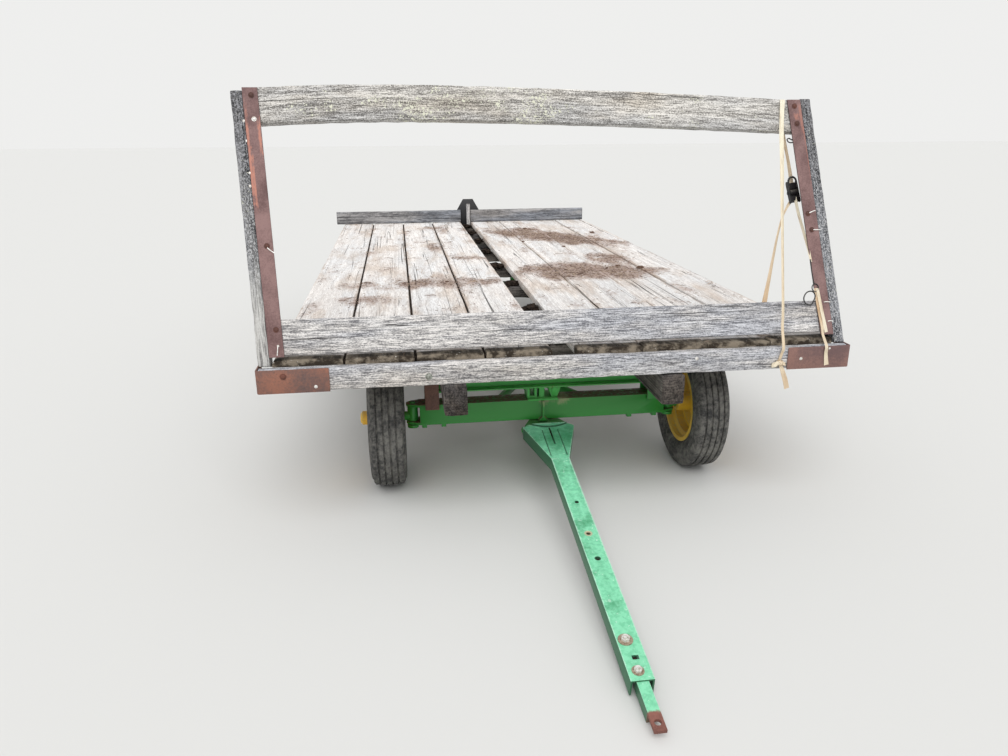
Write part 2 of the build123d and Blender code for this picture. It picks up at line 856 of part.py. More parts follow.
# Steering plate: it turns on the steering pin, carries the tongue's hinge in front
# and both tie rods' inner pin behind
arm_end = front_axle_place + steering_arm
with BuildPart() as steering_plate:
    with BuildSketch(level(plate_bottom)):
        with BuildLine():
            Polyline(
                (-steering_nose_width / 2, hinge_place),
                (steering_nose_width / 2, hinge_place),
                (steering_nose_width / 2, hinge_place + hinge_barrel_radius),
                (steering_boss_radius, front_axle_place),
                (rod_eye_radius, arm_end),
                (-rod_eye_radius, arm_end),
                (-steering_boss_radius, front_axle_place),
                (-steering_nose_width / 2, hinge_place + hinge_barrel_radius),
                close=True,
            )
        make_face()
        with Locations((0, front_axle_place)):
            Circle(steering_boss_radius)
        with Locations((0, arm_end)):
            Circle(rod_eye_radius)
        with Locations((0, front_axle_place)):
            Circle(steering_pin_radius + running_gap, mode=Mode.SUBTRACT)
    extrude(amount=steering_plate_thickness)
    with BuildSketch(lengthwise(-steering_nose_width / 2)):
        with Locations((hinge_place, hinge_height)):
            Circle(hinge_barrel_radius)
    extrude(amount=steering_nose_width)
    # Hinge pin through the barrel and out through the tongue's side walls
    pin_half = tongue_head_width / 2 + hinge_barrel_gap
    with BuildSketch(lengthwise(-pin_half)):
        with Locations((hinge_place, hinge_height)):
            Circle(hinge_pin_radius)
    extrude(amount=2 * pin_half)
    # Tie rod pin
    rod_pin_length = 2 * (rod_eye_thickness + rod_step)
    with BuildSketch(level(plate_bottom - rod_pin_length)):
        with Locations((0, arm_end)):
            Circle(rod_pin_radius)
    extrude(amount=rod_pin_length)
steering_plate.part.label = "steering_plate"
export_step(steering_plate.part, "parts/steering_plate.step")

# Tie rods, the right one a layer lower so that both share the plate's pin
for side, sign, slant, iron_height, post_height in sides:
    layer = 1 if side == "left" else 2
    eye_bottom = plate_bottom - layer * (rod_eye_thickness + rod_step)
    with BuildPart() as tie_rod:
        # A round rod with its two ends forged flat
        with BuildSketch(lengthwise(sign * rod_flat)):
            with Locations((arm_end, eye_bottom + rod_eye_thickness / 2)):
                Circle(rod_radius)
        extrude(amount=sign * (kingpin_place - 2 * rod_flat))
        with BuildSketch(level(eye_bottom)):
            with Locations((sign * kingpin_place / 2, arm_end)):
                Rectangle(kingpin_place, 2 * rod_radius)
            with Locations((0, arm_end), (sign * kingpin_place, arm_end)):
                Circle(rod_eye_radius)
        extrude(amount=rod_eye_thickness)
        with BuildSketch(level(eye_bottom - rod_eye_radius)):
            with Locations((0, arm_end)):
                Circle(rod_pin_radius + running_gap)
            with Locations((sign * kingpin_place, arm_end)):
                Circle(rod_pin_radius + rod_open_clearance)
        extrude(amount=2 * rod_eye_radius + rod_eye_thickness, mode=Mode.SUBTRACT)
    tie_rod.part.label = f"tie_rod_{side}"
    export_step(tie_rod.part, f"parts/tie_rod_{side}.step")

# Tongue: a pressed channel, open below, that flares into a wide head at the hinge
half_head = tongue_head_width / 2
half_neck = tongue_neck_width / 2
half_tongue = tongue_width / 2
with BuildPart() as tongue_channel:
    # The second pass hollows it, through both ends and the open underside.
    for inset, opening, mode in ((0, 0, Mode.ADD), (tongue_wall, tongue_ear_radius, Mode.SUBTRACT)):
        front_end = -tongue_box_length - opening
        with BuildSketch(tongue_plane(-tongue_height / 2)):
            with BuildLine():
                Polyline(
                    (half_head - inset, opening),
                    (half_head - inset, -tongue_ear_length),
                    (half_neck - inset, -tongue_head_length),
                    (half_tongue - inset, front_end),
                    (-half_tongue + inset, front_end),
                    (-half_neck + inset, -tongue_head_length),
                    (-half_head + inset, -tongue_ear_length),
                    (-half_head + inset, opening),
                    close=True,
                )
            make_face()
        extrude(amount=tongue_height - inset, mode=mode)
    # The head's corners are cut back, and ears run on to the hinge.
    with BuildSketch(tongue_plane(-tongue_height / 2)):
        for sign in (-1, 1):
            with BuildLine():
                Polyline(
                    (sign * (half_head - tongue_corner_cut), 0),
                    (sign * half_head, -tongue_corner_cut),
                    (sign * half_head, 0),
                    close=True,
                )
            make_face()
    extrude(amount=tongue_height, mode=Mode.SUBTRACT)
    with BuildSketch(tongue_plane(-tongue_ear_radius)):
        for sign in (-1, 1):
            with Locations((sign * (half_head - tongue_wall / 2), -tongue_ear_length / 2)):
                Rectangle(tongue_wall, tongue_ear_length)
    extrude(amount=2 * tongue_ear_radius)
    with BuildSketch(lengthwise(-half_head)):
        with Locations((hinge_place, hinge_height)):
            Circle(tongue_ear_radius)
    extrude(amount=tongue_wall)
    with BuildSketch(lengthwise(half_head - tongue_wall)):
        with Locations((hinge_place, hinge_height)):
            Circle(tongue_ear_radius)
    extrude(amount=tongue_wall)
    with BuildSketch(lengthwise(-tongue_head_width)):
        with Locations((hinge_place, hinge_height)):
            Circle(hinge_pin_radius + running_gap)
    extrude(amount=2 * tongue_head_width, mode=Mode.SUBTRACT)
    with BuildSketch(tongue_plane(0)):
        with Locations((0, -tongue_slot_place - tongue_slot_length / 2)):
            Rectangle(tongue_slot_width, tongue_slot_length)
        for place in adjusting_hole_places:
            with Locations((0, -place)):
                Circle(adjusting_hole_radius)
    extrude(amount=tongue_height, mode=Mode.SUBTRACT)
    # A crescent lip stiffens the head's edge, and two creases run down to its neck.
    with BuildSketch(tongue_plane(tongue_height / 2)):
        with BuildLine():
            lip_middle = (tongue_lip_start + tongue_lip_end) / 2
            ThreePointArc(
                (tongue_lip_start, 0), (lip_middle, -tongue_lip_bulge), (tongue_lip_end, 0)
            )
            Line((tongue_lip_end, 0), (tongue_lip_start, 0))
        make_face()
    extrude(amount=tongue_lip_thickness)
    crease_length = tongue_head_length - tongue_crease_margin - tongue_crease_start
    with BuildSketch(tongue_plane(tongue_height / 2)):
        middle = -tongue_crease_start - crease_length / 2
        for sign in (-1, 1):
            with Locations((sign * tongue_crease_spread / 2, middle)):
                Rectangle(tongue_crease_width, crease_length)
    extrude(amount=-tongue_crease_depth, mode=Mode.SUBTRACT)
tongue_channel.part.label = "tongue_channel"
export_step(tongue_channel.part, "parts/tongue_channel.step")

# Tongue bar: a narrower channel bolted inside, with a flat drilled tip
bar_top = tongue_height / 2 - tongue_wall
with BuildPart() as tongue_bar:
    with BuildSketch(tongue_plane(-tongue_bar_drop)):
        with Locations((0, -(tongue_bar_start + contact_reach) / 2)):
            Rectangle(tongue_bar_width, contact_reach - tongue_bar_start)
    extrude(amount=bar_top + tongue_bar_drop)
    with BuildSketch(tongue_plane(bar_top - tongue_tip_thickness)):
        with Locations((0, -(contact_reach - tongue_tip_length + tongue_length) / 2)):
            Rectangle(tongue_bar_width, tongue_length - contact_reach + tongue_tip_length)
        with Locations((0, -tongue_length + drawbar_pin_inset)):
            Circle(drawbar_pin_radius, mode=Mode.SUBTRACT)
    extrude(amount=tongue_tip_thickness)
tongue_bar.part.label = "tongue_bar"
export_step(tongue_bar.part, "parts/tongue_bar.step")

# Bolsters: rolled beams under the sills, with a stake outside each sill
for name, place in (("front", front_axle_place), ("rear", rear_axle_place)):
    with BuildPart() as bolster:
        with BuildSketch(lengthwise(-bolster_length / 2)):
            with Locations((place, bolster_bottom + bolster_height / 2)):
                Rectangle(bolster_web, bolster_height)
            with Locations(
                (place, bolster_bottom + bolster_wall / 2),
                (place, sill_underside - bolster_wall / 2),
            ):
                Rectangle(bolster_flange, bolster_wall)
        extrude(amount=bolster_length)
        if name == "rear":
            # Risers weld the rear bolster to its axle.
            with BuildSketch(level(beam_top)):
                with Locations((riser_spread / 2, place), (-riser_spread / 2, place)):
                    Rectangle(riser_length, riser_width)
            extrude(amount=bolster_bottom - beam_top)
    bolster.part.label = f"{name}_bolster"
    export_step(bolster.part, f"parts/{name}_bolster.step")

    # Stakes, channels that stand over the bolster's ends outside the sills
    for side, sign in (("left", 1), ("right", -1)):
        half_depth = bolster_flange / 2 + stake_overhang
        middle = sign * (stake_inner + stake_width / 2)
        outer = sign * (stake_inner + stake_width - stake_wall / 2)
        with BuildPart() as stake:
            with BuildSketch(level(stake_bottom)):
                with Locations(
                    (middle, place - half_depth + stake_wall / 2),
                    (middle, place + half_depth - stake_wall / 2),
                ):
                    Rectangle(stake_width, stake_wall)
            extrude(amount=stake_top - stake_bottom)
            with BuildSketch(level(beam_top + stake_web_clearance)):
                with Locations((outer, place)):
                    Rectangle(stake_wall, 2 * half_depth)
            extrude(amount=stake_top - beam_top - stake_web_clearance)
        stake.part.label = f"stake_{name}_{side}"
        export_step(stake.part, f"parts/stake_{name}_{side}.step")

# Front bolster pivot: a plate on the axle with a fork, a lug and a gusset with its boss
with BuildPart() as bolster_pivot:
    with BuildSketch(level(beam_top)):
        with Locations((pivot_plate_shift, front_axle_place)):
            Rectangle(pivot_plate_length, pivot_plate_width)
    extrude(amount=pivot_plate_thickness)
    with BuildSketch(level(beam_top)):
        for place, width in (
            (pivot_fork_place - (pivot_fork_width - pivot_fork_wall) / 2, pivot_fork_wall),
            (pivot_fork_place + (pivot_fork_width - pivot_fork_wall) / 2, pivot_fork_wall),
            (pivot_lug_place, pivot_lug_width),
        ):
            with Locations((place, front_axle_place)):
                Rectangle(width, pivot_ear_length)
    extrude(amount=bolster_bottom - beam_top)
    with BuildSketch(level(beam_top + pivot_plate_thickness)):
        with Locations((pivot_fork_place, front_axle_place)):
            Rectangle(pivot_fork_width, pivot_ear_length)
    extrude(amount=pivot_plate_thickness)
    with BuildSketch(across(front_axle_place - pivot_ear_length / 2)):
        with BuildLine():
            Polyline(
                (pivot_boss_place - pivot_gusset_foot / 2, beam_top + pivot_plate_thickness),
                (pivot_boss_place + pivot_gusset_foot / 2, beam_top + pivot_plate_thickness),
                (pivot_boss_place + pivot_gusset_top / 2, bolster_bottom),
                (pivot_boss_place - pivot_gusset_top / 2, bolster_bottom),
                close=True,
            )
        make_face()
    extrude(amount=-pivot_ear_length)
    with BuildSketch(across(front_axle_place - pivot_ear_length / 2 - pivot_boss_reach)):
        with Locations((pivot_boss_place, bolster_bottom - pivot_boss_drop)):
            Circle(pivot_boss_radius)
    extrude(amount=-pivot_ear_length - 2 * pivot_boss_reach)
bolster_pivot.part.label = "front_bolster_pivot"
export_step(bolster_pivot.part, "parts/front_bolster_pivot.step")

# Reach: an outer tube from the front axle, an inner one to the rear axle
front_face = front_axle_place + beam_width / 2
rear_end = rear_axle_place - beam_width / 2
with BuildPart() as reach_outer:
    with BuildSketch(across(front_face)):
        with Locations((0, reach_height)):
            Rectangle(reach_outer_size, reach_outer_size)
            inside = reach_outer_size - 2 * reach_wall
            Rectangle(inside, inside, mode=Mode.SUBTRACT)
    extrude(amount=-(reach_joint - front_face))
reach_outer.part.label = "reach_outer"
export_step(reach_outer.part, "parts/reach_outer.step")

with BuildPart() as reach_inner:
    with BuildSketch(across(reach_joint - reach_overlap)):
        with Locations((0, reach_height)):
            Rectangle(reach_inner_size, reach_inner_size)
            inside = reach_inner_size - 2 * reach_wall
            Rectangle(inside, inside, mode=Mode.SUBTRACT)
    extrude(amount=-(rear_end - reach_joint + reach_overlap))
reach_inner.part.label = "reach_inner"
export_step(reach_inner.part, "parts/reach_inner.step")

# Hounds: braces from each axle to the reach
hounds_table = (
    ("front", front_face, 1, front_hound_spread, front_hound_length, reach_outer_size),
    ("rear", rear_end, -1, rear_hound_spread, rear_hound_length, reach_inner_size),
)
for name, start, direction, spread, length, tube in hounds_table:
    with BuildPart() as hounds:
        with BuildSketch(level(reach_height - hound_depth / 2)):
            for sign in (-1, 1):
                with BuildLine():
                    Polyline(
                        (sign * spread, start),
                        (sign * (spread - 2 * hound_thickness), start),
                        (sign * tube / 2, start + direction * (length - 2 * hound_thickness)),
                        (sign * tube / 2, start + direction * length),
                        close=True,
                    )
                make_face()
        extrude(amount=hound_depth)
    hounds.part.label = f"{name}_hounds"
    export_step(hounds.part, f"parts/{name}_hounds.step")

# Tie-down strap: it falls before the headboard to a knot, hangs behind it to a ratchet,
# and runs on to a hook ring and down over the iron and the bracket
strap_seat = fit_gap + strap_thickness / 2
strap_head = sides[0][3] - strap_end_drop
ratchet_bottom = ratchet_top - ratchet_height
back_seat = -head_board_thickness - strap_seat
iron_seat = iron_thickness + strap_seat
hook_seat = iron_thickness + fit_gap + hook_wire_radius
ring_bottom = hook_ring_rise - hook_ring_radius - hook_wire_radius - fit_gap
knot = board_point(strap_knot_inset, strap_knot_drop, strap_seat)
hook_eye = headboard_point(thin_strap_inset, thin_strap_rise, thin_strap_forward)
leaning = headboard_plane(0).z_dir
upright = Vector(0, -1, 0)
strap_runs = (
    # node, width across, depth, the face behind each run, points of its route
    (
        "strap_fall",
        strap_width,
        strap_thickness,
        (leaning, upright, upright),
        (
            headboard_point(strap_fall_inset, strap_head, strap_seat),
            board_point(strap_knot_inset, 0, strap_seat),
            knot,
            knot + Vector(strap_tail_shift, -strap_tail_forward, -strap_tail_drop),
        ),
    ),
    (
        "strap_hanging",
        strap_width,
        strap_thickness,
        (leaning,),
        (
            headboard_point(strap_back_inset, strap_head, back_seat),
            headboard_point(ratchet_inset, ratchet_top + hanging_strap_gap, -ratchet_setback),
        ),
    ),
    (
        "strap_loose",
        strap_width,
        strap_thickness,
        (leaning, leaning),
        (
            headboard_point(loose_strap_inset, ratchet_bottom - loose_strap_gap, -loose_strap_setback),
            headboard_point(loose_strap_low_inset, loose_strap_low_rise, -loose_strap_setback),
            headboard_point(loose_strap_low_inset, loose_strap_end_rise, -loose_strap_setback),
        ),
    ),
    (
        "strap_thin",
        strap_thickness,
        thin_strap_width,
        (leaning,),
        (
            headboard_point(
                thin_strap_start_inset, ratchet_bottom - thin_strap_gap, -thin_strap_start_setback
            ),
            hook_eye,
        ),
    ),
    (
        "strap_lower",
        strap_width,
        strap_thickness,
        (leaning, leaning, upright),
        (
            headboard_point(lower_strap_inset, ring_bottom, iron_seat),
            headboard_point(lower_strap_foot_inset, lower_strap_foot_rise, iron_seat),
            board_point(lower_strap_board_inset, -strap_thickness, bracket_plate + strap_seat),
            board_point(lower_strap_end_inset, lower_strap_end_drop, bracket_plate + strap_seat),
        ),
    ),
)
for name, width, depth, faces, points in strap_runs:
    with BuildPart() as strap:
        for start, end, face in zip(points, points[1:], faces):
            with BuildSketch(run_plane(start, end, face)):
                Rectangle(width, depth)
            extrude(amount=(end - start).length)
    strap.part.label = name
    export_step(strap.part, f"parts/{name}.step")

# Ratchet: a back plate with two cheeks, the spool between them and the grip
ratchet_back = headboard_plane(-ratchet_setback - ratchet_depth / 2)
ratchet_middle = post_line(1, left_slant, ratchet_inset, ratchet_top - ratchet_height / 2)
with BuildPart() as ratchet:
    with BuildSketch(ratchet_back):
        with Locations(ratchet_middle):
            Rectangle(ratchet_width, ratchet_height)
    extrude(amount=ratchet_wall)
    with BuildSketch(ratchet_back):
        for sign in (-1, 1):
            reach = sign * (ratchet_width - ratchet_wall) / 2
            with Locations((ratchet_middle[0] + reach, ratchet_middle[1])):
                Rectangle(ratchet_wall, ratchet_height)
    extrude(amount=ratchet_depth)
    spool_centre = ratchet_back.from_local_coords(
        Vector(ratchet_middle[0] - ratchet_width / 2, ratchet_middle[1], ratchet_depth / 2)
    )
    grip_centre = ratchet_back.from_local_coords(
        Vector(
            ratchet_middle[0] - ratchet_width / 2,
            ratchet_bottom + ratchet_spool_radius,
            ratchet_depth - ratchet_spool_radius,
        )
    )
    for centre in (spool_centre, grip_centre):
        with BuildSketch(Plane(origin=centre, x_dir=(0, 1, 0), z_dir=(1, 0, 0))):
            Circle(ratchet_spool_radius)
        extrude(amount=ratchet_width)
ratchet.part.label = "ratchet"
export_step(ratchet.part, "parts/ratchet.step")

# Hook: a wire shank down to the ring that the lower strap hangs in
with BuildPart() as strap_hook:
    ring_centre = headboard_point(hook_ring_inset, hook_ring_rise, hook_seat)
    shank_start = headboard_point(thin_strap_inset, thin_strap_rise - hook_wire_radius, hook_seat)
    shank_end = headboard_point(hook_ring_inset, hook_ring_rise + hook_ring_radius, hook_seat)
    with BuildSketch(run_plane(shank_start, shank_end, leaning)):
        Circle(hook_wire_radius)
    extrude(amount=(shank_end - shank_start).length)
    with Locations(Plane(origin=ring_centre, x_dir=(1, 0, 0), z_dir=leaning)):
        Torus(hook_ring_radius, hook_wire_radius)
strap_hook.part.label = "strap_hook"
export_step(strap_hook.part, "parts/strap_hook.step")
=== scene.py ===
import json
import math
import bpy
import bmesh
import numpy as np
from mathutils import Matrix, Vector, noise
from mathutils.bvhtree import BVHTree
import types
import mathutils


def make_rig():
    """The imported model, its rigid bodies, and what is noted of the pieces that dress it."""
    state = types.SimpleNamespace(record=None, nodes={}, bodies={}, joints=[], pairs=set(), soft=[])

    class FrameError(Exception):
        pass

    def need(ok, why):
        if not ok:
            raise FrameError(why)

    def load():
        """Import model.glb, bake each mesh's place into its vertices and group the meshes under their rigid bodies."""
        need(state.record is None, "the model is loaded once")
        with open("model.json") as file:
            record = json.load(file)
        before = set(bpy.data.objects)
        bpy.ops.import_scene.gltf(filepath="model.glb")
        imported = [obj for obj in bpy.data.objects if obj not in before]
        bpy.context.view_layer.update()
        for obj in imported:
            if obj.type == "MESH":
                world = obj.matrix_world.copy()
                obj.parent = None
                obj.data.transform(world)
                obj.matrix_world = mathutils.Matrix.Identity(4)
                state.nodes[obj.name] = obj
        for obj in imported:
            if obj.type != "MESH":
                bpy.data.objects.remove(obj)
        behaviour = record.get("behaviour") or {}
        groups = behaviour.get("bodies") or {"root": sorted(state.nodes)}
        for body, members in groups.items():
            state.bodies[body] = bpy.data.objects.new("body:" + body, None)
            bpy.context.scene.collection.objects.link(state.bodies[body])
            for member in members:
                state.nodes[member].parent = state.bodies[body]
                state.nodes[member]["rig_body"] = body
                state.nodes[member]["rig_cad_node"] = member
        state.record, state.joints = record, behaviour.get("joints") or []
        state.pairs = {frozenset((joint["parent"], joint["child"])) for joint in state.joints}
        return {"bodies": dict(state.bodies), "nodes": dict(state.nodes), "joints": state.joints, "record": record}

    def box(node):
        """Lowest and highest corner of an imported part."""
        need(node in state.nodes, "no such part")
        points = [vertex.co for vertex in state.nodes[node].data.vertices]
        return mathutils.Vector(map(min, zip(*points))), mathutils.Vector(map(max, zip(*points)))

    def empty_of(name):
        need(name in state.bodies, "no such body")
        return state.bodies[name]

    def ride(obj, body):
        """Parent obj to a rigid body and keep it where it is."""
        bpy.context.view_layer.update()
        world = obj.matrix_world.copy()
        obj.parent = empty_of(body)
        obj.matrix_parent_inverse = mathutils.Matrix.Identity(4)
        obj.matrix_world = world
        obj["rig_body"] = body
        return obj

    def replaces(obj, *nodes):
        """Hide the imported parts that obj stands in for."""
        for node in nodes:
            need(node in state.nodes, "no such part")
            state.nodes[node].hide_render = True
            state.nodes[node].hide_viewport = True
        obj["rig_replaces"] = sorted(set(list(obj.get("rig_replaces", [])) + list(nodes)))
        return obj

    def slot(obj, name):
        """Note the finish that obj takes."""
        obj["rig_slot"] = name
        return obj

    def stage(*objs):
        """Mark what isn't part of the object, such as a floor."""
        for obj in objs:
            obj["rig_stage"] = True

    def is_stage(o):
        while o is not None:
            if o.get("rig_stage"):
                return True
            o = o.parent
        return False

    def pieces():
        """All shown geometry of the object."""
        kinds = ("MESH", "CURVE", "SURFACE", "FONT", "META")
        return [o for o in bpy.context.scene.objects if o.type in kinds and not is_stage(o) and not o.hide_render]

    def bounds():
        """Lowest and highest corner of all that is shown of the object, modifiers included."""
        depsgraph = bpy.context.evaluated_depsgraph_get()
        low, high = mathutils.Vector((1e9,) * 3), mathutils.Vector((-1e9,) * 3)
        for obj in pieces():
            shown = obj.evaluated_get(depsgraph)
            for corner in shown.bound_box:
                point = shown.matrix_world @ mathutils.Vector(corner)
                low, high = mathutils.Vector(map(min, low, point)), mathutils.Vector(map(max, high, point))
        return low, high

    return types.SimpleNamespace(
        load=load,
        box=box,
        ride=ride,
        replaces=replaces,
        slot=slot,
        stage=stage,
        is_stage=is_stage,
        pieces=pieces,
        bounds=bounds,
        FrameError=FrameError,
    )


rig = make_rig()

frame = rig.load()
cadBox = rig.bounds()
nodes = frame["nodes"]
print("frame loaded:", len(nodes), "nodes")

# Landmarks of the wagon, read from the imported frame, in metres
leftLow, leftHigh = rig.box("deck_planks_left")
rightLow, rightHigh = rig.box("deck_planks_right")
deckMiddle = (leftHigh.x + rightLow.x) / 2
deckFront = leftLow.y
deckTop = leftHigh.z
sides = {"left": 1, "right": -1}
behaviour = frame["record"]["behaviour"]
bodyOf = {node: body for body, members in behaviour["bodies"].items() for node in members}
slotOf = {part["node"]: part["material_slot"] for part in frame["record"]["subparts"]}


def deckPoint(x, y, z):
    # From deck coordinates: across from the centreline, back from the front edge, up from the deck
    return Vector((deckMiddle + x, deckFront + y, deckTop + z))


headboardLean = math.radians(17)
tongueSlope = math.radians(8.59)
tongueHinge = Vector(next(joint["pos_m"] for joint in behaviour["joints"] if joint["name"] == "tongue_lift"))
tongueUp = Vector((0, -math.sin(tongueSlope), math.cos(tongueSlope)))


def headPoint(x, rise, forward=0.0):
    # On the leaning headboard: across, up its slope from the deck, out of its front face
    back = rise * math.sin(headboardLean) - forward * math.cos(headboardLean)
    return deckPoint(x, back, rise * math.cos(headboardLean) + forward * math.sin(headboardLean))


def boardPoint(x, drop, forward=0.0):
    # On the front board: across, down from its top edge, out of its front face
    return deckPoint(x, -0.045 - forward, -0.022 - drop)


def tonguePoint(x, along, up):
    # On the tongue as it rests: across, along from its hinge, up from its middle
    return tongueHinge + Vector((x, -math.cos(tongueSlope) * along, -math.sin(tongueSlope) * along)) + tongueUp * up


# A value in a shader or geometry tree. Sums of values are written as for numbers, and become math nodes.
class Value:
    def __init__(self, tree, socket):
        self.tree, self.socket = tree, socket

    def __abs__(self):
        return calc("ABSOLUTE", self)


def operator(kind, swapped):
    return lambda self, other: calc(kind, other, self) if swapped else calc(kind, self, other)


for mark, kind in (("add", "ADD"), ("sub", "SUBTRACT"), ("mul", "MULTIPLY"), ("truediv", "DIVIDE"), ("pow", "POWER")):
    setattr(Value, f"__{mark}__", operator(kind, False))
    setattr(Value, f"__r{mark}__", operator(kind, True))


class Outputs:
    def __init__(self, tree, node):
        self.tree, self.node = tree, node

    def __getitem__(self, key):
        return Value(self.tree, self.node.outputs[key])

    def __iter__(self):
        return (Value(self.tree, socket) for socket in self.node.outputs)


# A node, given by its outputs. Inputs go by name or number: a value is linked, and the rest is set.
def addNode(tree, kind, inputs=None, **settings):
    made = tree.nodes.new(kind)
    for name, setting in settings.items():
        setattr(made, name, setting)
    for name, given in (inputs or {}).items():
        if isinstance(given, Value):
            tree.links.new(given.socket, made.inputs[name])
        else:
            made.inputs[name].default_value = (*given, 1) if made.inputs[name].type == "RGBA" else given
    return Outputs(tree, made)


def calc(kind, *values, clamp=False):
    tree = next(value.tree for value in values if isinstance(value, Value))
    return addNode(tree, "ShaderNodeMath", dict(enumerate(values)), operation=kind, use_clamp=clamp)[0]


def mulAdd(first, second, third):
    return calc("MULTIPLY_ADD", first, second, third)


def maxOf(first, second):
    return calc("MAXIMUM", first, second)


def minOf(first, second):
    return calc("MINIMUM", first, second)


def xyz(vector):
    return addNode(vector.tree, "ShaderNodeSeparateXYZ", {0: vector})


def blend(amount, under, over, mode="MIX"):
    inputs = {0: amount, 6: under, 7: over}
    return addNode(amount.tree, "ShaderNodeMix", inputs, data_type="RGBA", blend_type=mode)[2]


def ramp(value, low, high, bottom=0, top=1):
    inputs = {"Value": value, "From Min": low, "From Max": high, "To Min": bottom, "To Max": top}
    return addNode(value.tree, "ShaderNodeMapRange", inputs, interpolation_type="SMOOTHSTEP")[0]


def texture(vector, stretch, detail=4, roughness=0.6):
    scaled = addNode(vector.tree, "ShaderNodeVectorMath", {0: vector, 1: stretch}, operation="MULTIPLY")[0]
    inputs = {"Vector": scaled, "Scale": 1, "Detail": detail, "Roughness": roughness, "Distortion": 0}
    return addNode(vector.tree, "ShaderNodeTexNoise", inputs)["Fac"]


socketKinds = {"v": "NodeSocketVector", "c": "NodeSocketColor", "f": "NodeSocketFloat", "i": "NodeSocketInt",
               "g": "NodeSocketGeometry", "m": "NodeSocketMaterial"}


# A node group whose sockets are given as name and kind
def newGroup(name, inputs, outputs, treeKind="ShaderNodeTree"):
    tree = bpy.data.node_groups.new(name, treeKind)
    for flow, sockets in (("INPUT", inputs), ("OUTPUT", outputs)):
        for label, kind in sockets.items():
            tree.interface.new_socket(label, in_out=flow, socket_type=socketKinds[kind])
    return tree, addNode(tree, "NodeGroupInput")


def useGroup(tree, group, inputs):
    return addNode(tree, "ShaderNodeGroup", inputs, node_tree=group)


finishSockets = {"Color": "c", "Roughness": "f", "Height": "f"}


def endGroup(tree, colour, rough, high):
    addNode(tree, "NodeGroupOutput", {"Color": colour, "Roughness": rough, "Height": high})
    return tree


def normalParts(tree):
    return xyz(addNode(tree, "ShaderNodeNewGeometry")["Normal"])


# Weathered softwood: fibres, growth lines round a wandering pith, checks, stains, lichen and grime
def woodGroup():
    amounts = ("Lines", "Line Depth", "Fibre", "Speckle", "Streak", "Checks", "Stained", "Lichen", "Grime", "Tone",
               "End")
    inputs = {"Vector": "v", "Pale": "c", "Dark": "c", "Stain": "c", "Cool": "c", **dict.fromkeys(amounts, "f")}
    tree, given = newGroup("weatheredWood", inputs, finishSockets)
    vector = given["Vector"]
    along, across, deep = xyz(vector)

    def swing(noiseValue, size):
        return (noiseValue - 0.5) * size

    fibre = texture(vector, (17, 210, 210), 4, 0.62)
    fine = texture(vector, (80, 620, 620), 2, 0.6)
    speck = texture(vector, (120, 170, 170), 3, 0.6)
    streak = texture(vector, (1.5, 38, 38), 4, 0.6)
    blotch = texture(vector, (1.6, 5.5, 5.5), 4, 0.6)
    wander = swing(texture(vector, (0.7, 2, 2), 2, 0.5), 0.2)
    wobble = mulAdd(texture(vector, (1.6, 8, 8), 2), 0.03, deep)
    rings = calc("SQRT", abs(across + wander) ** 2 + (wobble + 0.1) ** 2)
    wave = calc("SINE", rings * (given["Lines"] * 6.283))
    late = ramp(wave, 0.35, 1) * ramp(streak, 0.35, 0.6, 0.25, 1)
    tone = swing(fibre, 2.0) + swing(fine, 0.9) + swing(speck, 1.0)
    tone = mulAdd(tone, given["Fibre"], given["Tone"] + 0.5)
    tone = mulAdd(swing(streak, 2.2), given["Streak"], tone)
    tone = mulAdd(swing(texture(vector, (170, 200, 200), 4, 0.7), 3.6), given["Speckle"], tone)
    tone = tone - late * given["Line Depth"]
    colour = blend(ramp(tone, 0.02, 0.98), given["Dark"], given["Pale"])
    cooled = ramp(texture(vector, (1.1, 6, 6), 3), 0.42, 0.62)
    colour = blend(cooled, colour, given["Cool"], "MULTIPLY")
    stained = calc("MULTIPLY", ramp(blotch, 0.48, 0.68), given["Stained"], clamp=True)
    colour = blend(stained, colour, given["Stain"], "MULTIPLY")
    grimy = ramp(texture(vector, (4, 11, 11), 6, 0.7), 0.52, 0.75)
    colour = blend(calc("MULTIPLY", grimy, given["Grime"], clamp=True), colour, (0.07, 0.06, 0.052))
    # Checks: long thin splits along the grain, in patches
    split = abs(texture(vector, (0.3, 30, 30), 1.5, 0.5) - 0.5)
    width = given["Checks"] * ramp(texture(vector, (0.8, 14, 14), 2), 0.48, 0.64)
    check = calc("SUBTRACT", 1, split / mulAdd(width, 0.018, 0.0004), clamp=True)
    check = calc("MULTIPLY", check, ramp(width, 0.05, 0.3), clamp=True)
    # Lichen: two sizes of spots in patches
    patch = ramp(texture(vector, (4, 8, 8), 4), 0.46, 0.66)
    lichen = None
    for scale, reach in ((64, 0.34), (150, 0.42)):
        spots = addNode(tree, "ShaderNodeTexVoronoi", {"Vector": vector, "Scale": scale, "Randomness": 1})
        chance = addNode(tree, "ShaderNodeSeparateColor", {0: spots["Color"]})[0]
        size = patch * given["Lichen"] * (chance * reach)
        layer = ramp(size - spots["Distance"], 0, 0.05)
        lichen = layer if lichen is None else maxOf(lichen, layer)
    colour = blend(lichen * 0.9, colour, (0.72, 0.72, 0.58))
    colour = blend(given["End"] * 0.75, colour, (0.34, 0.31, 0.29), "MULTIPLY")
    colour = blend(check * 0.94, colour, (0.012, 0.01, 0.009))
    high = fibre * 0.0012 + streak * 0.0014
    for relief, depth in ((fine, 0.0003), (late, -0.0003), (check, -0.004), (lichen, 0.0008)):
        high = mulAdd(relief, depth, high)
    return endGroup(tree, colour, mulAdd(fibre, 0.2, 0.72), high)


